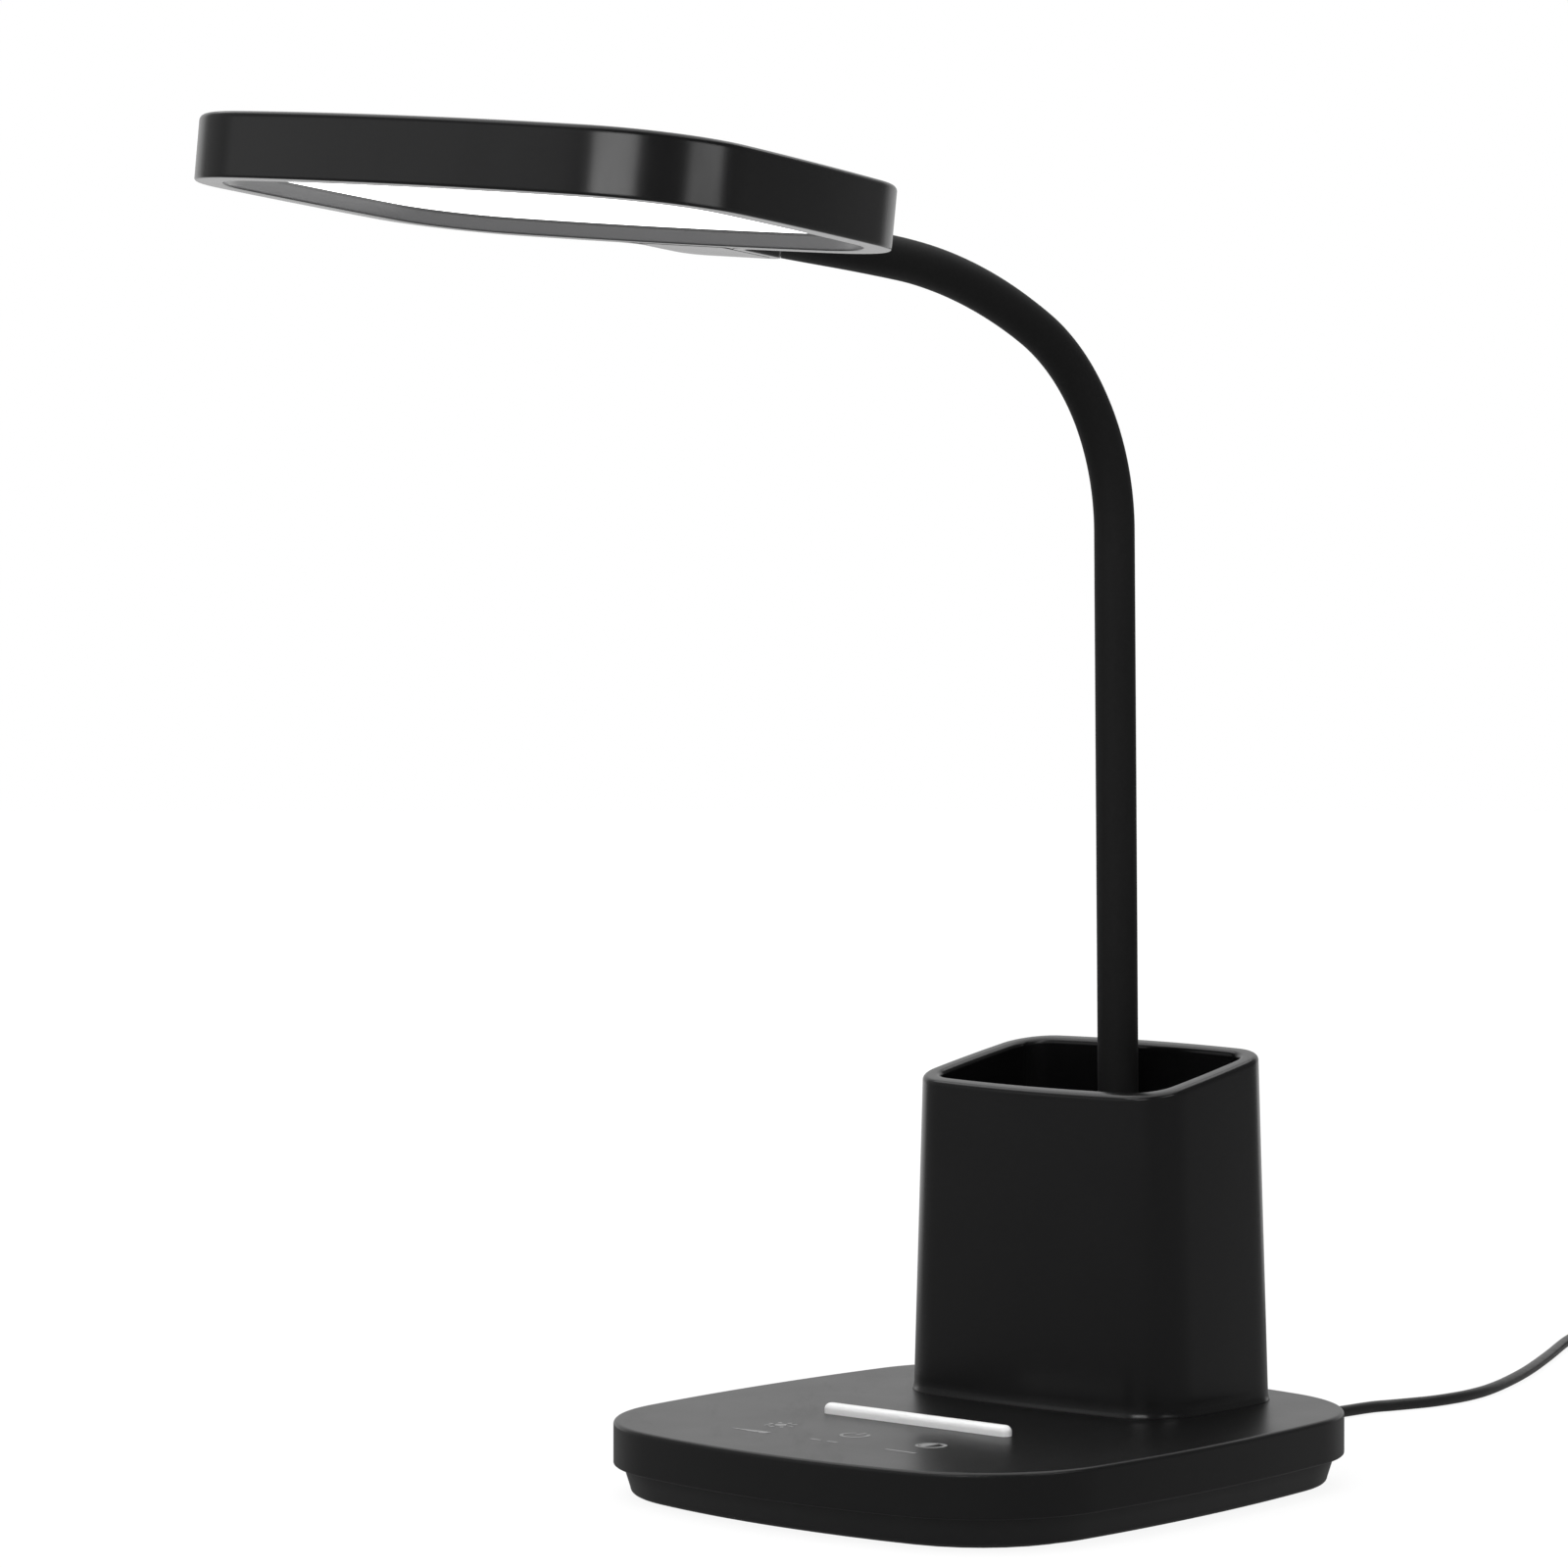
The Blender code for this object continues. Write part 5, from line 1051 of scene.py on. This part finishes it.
body_black = moulded_black("satin_black_body", (0.0038, 0.0038, 0.0040), 0.22, 5200.0, 0.00001)
top_black = moulded_black("satin_black_base", (0.0028, 0.0028, 0.0030), 0.34, 5200.0, 0.00001)
skirt_black = moulded_black("matt_black_tray", (0.0062, 0.0062, 0.0065), 0.40, 4200.0, 0.00003)
# painted light: a lighter grey that stands for the panel's glow falling on the recess wall
recess_painted_glow_black = moulded_black("satin_black_painted_panel_glow", (0.035, 0.035, 0.036), 0.30, 5200.0, 0.00001)
hidden_black = moulded_black("plain_black_inner", (0.012, 0.012, 0.012), 0.50, 3000.0, 0.00003)
print("black plastics:", body_black.name, top_black.name, skirt_black.name, hidden_black.name)

# %% [markdown]
# ## Silicone, lead jacket and foamed rubber
# Silicone scatters light from a velvety skin, so the sleeve is rough and hardly shines. The lead's
# jacket is smoother, with long faint streaks from the die that it was drawn through. The anti-slip
# pad is a foam with open pores, which Voronoi cells make, and the pores are darkened with painted
# shade.

# %% Mix the rubbers
def silicone():
    finish = Finish("neck_silicone_skin")
    dust = finish.noise(900.0, 3.0, 0.6)
    clouds = finish.noise(30.0, 2.0)
    shade = finish.blend(clouds * 0.5 + dust * 0.5,
                         (0.0030, 0.0030, 0.0031), (0.0055, 0.0055, 0.0056))
    return finish.set(base_color=shade, roughness=0.72 + (dust - 0.5) * 0.16,
                      normal=finish.bump(dust, 0.00003, 0.3), ior=1.36)


def jacket():
    finish = Finish("lead_jacket")
    streaks = finish.noise(700.0, 2.0, 0.5, finish.stretched((1.0, 6.0, 1.0)))
    clouds = finish.noise(60.0, 2.0)
    shade = finish.blend(clouds, (0.008, 0.008, 0.008), (0.014, 0.014, 0.014))
    return finish.set(base_color=shade, roughness=0.38 + (streaks - 0.5) * 0.14,
                      normal=finish.bump(streaks, 0.00004, 0.35))


def foam():
    finish = Finish("foamed_rubber_pad")
    cells = finish.cells(1400.0)
    pores_with_painted_shade = 1 - cells.above(0.28, 0.12)
    # painted shade: the pores get a darker colour, for the shade that falls into them
    shade = finish.blend(pores_with_painted_shade, (0.030, 0.030, 0.031), (0.008, 0.008, 0.008))
    return finish.set(base_color=shade, roughness=0.85 + pores_with_painted_shade * 0.1,
                      normal=finish.bump(cells, 0.0002, 0.8))


neck_skin = silicone()
lead_skin = jacket()
pad_foam = foam()
print("rubbers:", neck_skin.name, lead_skin.name, pad_foam.name)

# %% [markdown]
# ## Metals
# The phone rest is plated and then brushed along its length, so its grain is a noise stretched
# along X, and its gloss changes with that grain. A true metal shows nothing but the room, which is
# dark on the camera's side, so this one isn't metallic: its near-white colour is a painted
# reflection of the bright room, which the key box lights.
# Zinc has soft crystals, mill aluminium long rolling lines, and the gooseneck's steel hose is wound
# from strip, which a fine wave along its length shows; the grooves between the windings get painted
# shade.

# %% Mix the metals
def brushed(name, colour, gloss, along, scale, depth, metal=1.0):
    finish = Finish(name)
    hairs = finish.noise(scale, 3.0, 0.6, finish.stretched(along))
    clouds = finish.noise(45.0, 2.0)
    shade = finish.tones(hairs * 0.7 + clouds * 0.3, colour, 0.88)
    rough = gloss + (hairs - 0.5) * 0.16 + (clouds - 0.5) * 0.05
    return finish.set(base_color=shade, metallic=metal, roughness=rough,
                      normal=finish.bump(hairs, depth, 0.4))


def plated(name, colour, gloss, scale):
    finish = Finish(name)
    grains = finish.cells(scale, "SMOOTH_F1")
    clouds = finish.noise(80.0, 3.0)
    rough = gloss + (grains - 0.4) * 0.2 + (clouds - 0.5) * 0.1
    return finish.set(base_color=finish.tones(grains, colour, 0.85), metallic=1.0, roughness=rough)


def wound_hose():
    finish = Finish("wound_steel_hose")
    turns = finish.node("TexWave", {"wave_type": "BANDS", "bands_direction": "Z"}, output="Fac",
                        vector=finish.place, scale=160.0, distortion=0.3)
    # painted shade: the low bands of the wave, the grooves between windings, get the darker colour
    shade = finish.blend(turns, (0.26, 0.26, 0.27), (0.52, 0.52, 0.54))
    return finish.set(base_color=shade, metallic=1.0, roughness=0.32 + turns * 0.1,
                      normal=finish.bump(turns, 0.0004, 0.7))


# painted reflection: a near-white colour on a non-metal stands for the bright room that the plated
# bar mirrors
bar_painted_reflection_white = brushed("silver_bar_painted_reflection", (0.97, 0.97, 0.97), 0.30, (18.0, 1.0, 1.0), 2600.0,
                 0.00001, metal=0.0)
mill_aluminium = brushed("mill_aluminium", (0.70, 0.70, 0.72), 0.40, (1.0, 22.0, 1.0), 1500.0,
                         0.00003)
plate_steel = brushed("punched_steel_plate", (0.46, 0.46, 0.47), 0.46, (1.0, 10.0, 1.0), 700.0,
                      0.00004)
zinc = plated("zinc_plate", (0.58, 0.58, 0.60), 0.32, 1800.0)
nickel = plated("plug_nickel", (0.76, 0.75, 0.73), 0.20, 900.0)
hose_steel = wound_hose()
for metal in (bar_painted_reflection_white, mill_aluminium, plate_steel, zinc, nickel, hose_steel):
    print("metal:", metal.name)

# %% [markdown]
# ## The light and what is behind it
# The opal sheet is white acrylic with a faint haze and a fine dotted backing that is hardly seen
# when the lamp is on, so it glows almost evenly. Behind it lie a clear guide, a white film and a
# strip of chips, which get their own plain finishes. The grey ink of the key signs is one of these
# plain finishes too, and the boards in the base are green laminate with faint tracks.

# %% Mix the light's finishes
def opal():
    finish = Finish("opal_glow")
    haze = finish.noise(26.0, 3.0)
    dots = finish.cells(420.0)
    shade = finish.blend(haze * 0.7 + dots * 0.3, (0.80, 0.80, 0.80), (0.88, 0.88, 0.88))
    glow = finish.blend(haze * 0.6 + dots * 0.4, (0.96, 0.96, 0.96), (1.0, 1.0, 1.0))
    return finish.set(base_color=shade, roughness=0.42 + (haze - 0.5) * 0.1,
                      emission_color=glow, emission_strength=2.6)


def sheet_white(name, colour, gloss, scale):
    finish = Finish(name)
    fibres = finish.noise(scale, 3.0, 0.6)
    clouds = finish.noise(24.0, 2.0)
    shade = finish.tones(fibres * 0.5 + clouds * 0.5, colour, 0.92)
    return finish.set(base_color=shade, roughness=gloss + (fibres - 0.5) * 0.12,
                      normal=finish.bump(fibres, 0.00003, 0.3))


def laminate():
    finish = Finish("board_laminate_green")
    weave = finish.node("TexBrick", {"offset": 0.5}, output="Fac", vector=finish.place,
                        scale=900.0)
    tracks = finish.noise(160.0, 1.0, 0.3, finish.stretched((4.0, 1.0, 1.0))).above(0.55, 0.01)
    shade = finish.blend(tracks, (0.018, 0.100, 0.045), (0.035, 0.170, 0.075))
    return finish.set(base_color=shade, roughness=0.34 + tracks * 0.08 + weave * 0.04,
                      normal=finish.bump(tracks, 0.00004, 0.5))


opal_glow = opal()
guide_clear = sheet_white("guide_acrylic_sheet", (0.86, 0.89, 0.89), 0.12, 300.0)
film_white = sheet_white("reflector_film_white", (0.90, 0.90, 0.90), 0.55, 1200.0)
strip_white = sheet_white("strip_board_white", (0.84, 0.84, 0.82), 0.45, 900.0)
board_green = laminate()
key_ink = sheet_white("grey_key_ink", (0.26, 0.26, 0.26), 0.60, 1500.0)
for sheet in (opal_glow, guide_clear, film_white, strip_white, board_green, key_ink):
    print("light:", sheet.name)

# %% [markdown]
# ## Dress every piece
# Each new piece gets its finish, and so does each node of the bare model that still shows, by the
# slot that its record names. A short table says which finish stands for which slot.

# %% Hand out the finishes
SLOT_FINISH = {
    "body_plastic": body_black, "tray_plastic": skirt_black, "inner_plastic": hidden_black,
    "tie_plastic": skirt_black, "plug_plastic": skirt_black, "pad_rubber": pad_foam,
    "pad_foam": pad_foam, "neck_silicone": neck_skin, "cord_rubber": lead_skin,
    "ballast_steel": plate_steel, "fastener_steel": zinc, "satin_chrome": bar_painted_reflection_white,
    "hose_steel": hose_steel, "plug_steel": nickel, "spreader_aluminium": mill_aluminium,
    "board_laminate": board_green, "diffuser_opal": opal_glow, "guide_acrylic": guide_clear,
    "strip_board": strip_white, "reflector_film": film_white,
}


def wear(thing, material):
    thing.data.materials.clear()
    thing.data.materials.append(material)


NODE_SLOT = {entry["node"]: entry["material_slot"] for entry in frame["record"]["subparts"]}
for name, node in frame["nodes"].items():
    for holder in node.material_slots:
        holder.material = SLOT_FINISH[NODE_SLOT[name]]
new_pieces = [supply_lead, base_cover, tray, cup_body, bar, signs, housing, plate, panel, boot,
              *sleeve_pieces]
for piece in new_pieces:
    wear(piece, SLOT_FINISH[piece["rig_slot"]])
wear(base_cover, top_black)
wear(signs, key_ink)
print("dressed", len(frame["nodes"]), "nodes and", len(new_pieces), "new pieces")

# %% [markdown]
# ## The wall round the light
# The wall that looks into the light's recess is lit by the panel so strongly that the camera sees
# it as grey. A second, lighter finish on just those faces paints that glow into their colour. They
# are found in the head's own frame: upright faces, below the shade line, that look towards the
# middle.

# %% Paint the panel's glow on the recess
def paint_glow_on_recess(thing):
    """Paints the panel's glow on the walls that look into the light's recess, as a second finish.
    """
    to_head = HEAD_PLACE.inverted()

    def looks_in(face):
        middle, normal = to_head @ face.center, to_head.to_3x3() @ face.normal
        inwards = normal.x * middle.x + normal.y * middle.y < 0
        return middle.z < RIM_SHADE and abs(normal.z) < 0.3 and inwards

    # The second finish is the panel's glow, painted into the wall's colour.
    thing.data.materials.append(recess_painted_glow_black)
    pick(thing, looks_in)
    thing.active_material_index = 1
    bpy.ops.object.material_slot_assign()
    bpy.ops.object.mode_set(mode="OBJECT")


paint_glow_on_recess(housing)
paint_glow_on_recess(plate)
print("lined:", housing.name, "and", plate.name)

# %% [markdown]
# ## The studio
# The lamp stands on a white table before a white background. The camera sees both as plain white,
# through the Is Camera Ray switch, while the light that falls on the lamp stays soft and plain.
# Black plastic shows nothing but reflections, so the room matters: it is bright behind the lamp and
# dark on the camera's side. The table does the same where it is mirrored, in the glossy sides of
# base and cup, because it is bright only on its far half.

# %% Lay the table
AWAY, LEFT, UP = (-0.667, 0.745, 0.0), (-0.745, -0.667, 0.0), (0.0, 0.0, 1.0)
PURE_WHITE = (1.0, 1.0, 1.0, 1.0)


def mixing(tree, share, first, second):
    """Mixes two shaders of a node tree by a share."""
    made = tree.nodes.new("ShaderNodeMixShader")
    tree.links.new(share.socket, made.inputs[0])
    tree.links.new(first, made.inputs[1])
    tree.links.new(second, made.inputs[2])
    return made.outputs[0]


def light_path(holder, ray):
    return holder.node("LightPath", {}, output=ray)


def along(holder, place, direction):
    """How far a place lies in a direction."""
    return holder.node("VectorMath", {"operation": "DOT_PRODUCT"}, output="Value",
                       **{"0": place, "1": direction})


select_nothing()
bpy.ops.mesh.primitive_circle_add(vertices=96, radius=30.0, fill_type="NGON",
                                  location=(0.0, 0.0, -0.0002))
table = name_new("studio_table")
paper = Finish("studio_white")
paper.set(base_color=(0.86, 0.86, 0.86), roughness=0.9, specular_level=0.0)
seen = paper.node("Emission", {}, color=PURE_WHITE, strength=1.04)
bearing = paper.node("VectorMath", {"operation": "NORMALIZE"}, output="Vector",
                     **{"0": paper.place})
far_half = along(paper, bearing, AWAY).above(0.71, 0.08)
beyond = along(paper, paper.place, AWAY).above(0.60, 0.50) * far_half
mirrored = paper.node("Emission", {}, color=PURE_WHITE, strength=0.25 + beyond * 0.70)
reach = paper.node("VectorMath", {"operation": "LENGTH"}, output="Value", **{"0": paper.place})
shown = light_path(paper, "Is Camera Ray") * (0.88 + reach.above(0.75, 0.35) * 0.12)
gloss = mixing(paper.tree, light_path(paper, "Is Glossy Ray"), paper.shader.outputs[0],
               mirrored.socket)
paper.tree.links.new(mixing(paper.tree, shown, gloss, seen.socket),
                     paper.tree.nodes["Material Output"].inputs["Surface"])
wear(table, paper.material)
print("table:", paper.material.name)

# %% [markdown]
# ## The light
# The world is the room: white for the camera, and elsewhere bright behind the lamp, half bright on
# the left and dark in front. A large box overhead lights the tops. Three narrow ones at the sides
# are there for their reflections, the upright streaks on head and neck. A key box in front lights
# what is pale, such as the bar, and is kept out of reflections, so that what is black stays black.

# %% Light the room
world = bpy.data.worlds.new("studio_room")
bpy.context.scene.world = world
world.use_nodes = True


class Room(Finish):
    """The world's node tree, written with the same words as a finish."""

    def __init__(self, world):
        self.tree = world.node_tree
        self.tree.nodes.clear()
        self.place = self.node("TexCoord", {}, output="Generated")


room = Room(world)
backdrop = along(room, room.place, AWAY).above(0.71, 0.08)
side = along(room, room.place, LEFT).above(0.45, 0.45)
low = 1 - along(room, room.place, UP).above(0.12, 0.07)
brightness = 0.15 + side * 0.18 + backdrop * (0.57 + low * 0.14)
dim = room.node("Background", {}, color=PURE_WHITE, strength=brightness)
white = room.node("Background", {}, color=PURE_WHITE, strength=1.0)
out = room.tree.nodes.new("ShaderNodeOutputWorld")
room.tree.links.new(mixing(room.tree, light_path(room, "Is Camera Ray"), dim.socket, white.socket),
                    out.inputs["Surface"])
print("room:", world.name)

# %% Hang the soft boxes
def soft_box(name, place, target, width, height, power):
    """A square light that looks at a target and isn't seen itself."""
    data = bpy.data.lights.new(name, "AREA")
    data.shape = "RECTANGLE"
    data.size, data.size_y, data.energy = width, height, power
    light = bpy.data.objects.new(name, data)
    bpy.context.collection.objects.link(light)
    light.location = place
    light.rotation_euler = (Vector(target) - Vector(place)).to_track_quat("-Z", "Y").to_euler()
    light.visible_camera = False
    return light


BOXES = (
    ("top_box", (-0.1, 0.1, 1.7), (0.0, 0.0, 0.1), 2.6, 2.6, 32.0),
    ("front_box", (0.414, -0.766, 0.386), (0.098, -0.256, 0.36), 0.41, 0.12, 0.85),
    ("right_box", (0.67, -0.025, 0.346), (0.109, -0.239, 0.36), 0.36, 0.11, 0.36),
    ("left_box", (-0.59, -1.63, 0.58), (0.0, -0.25, 0.40), 1.50, 0.40, 0.85),
    ("key_box", (0.5, -1.1, 1.3), (0.0, 0.0, 0.1), 0.9, 0.9, 11.0),
)
boxes = {box[0]: soft_box(*box) for box in BOXES}
boxes["key_box"].visible_glossy = False
bpy.context.scene.view_settings.view_transform = "Standard"
print(len(boxes), "soft boxes:", *boxes)
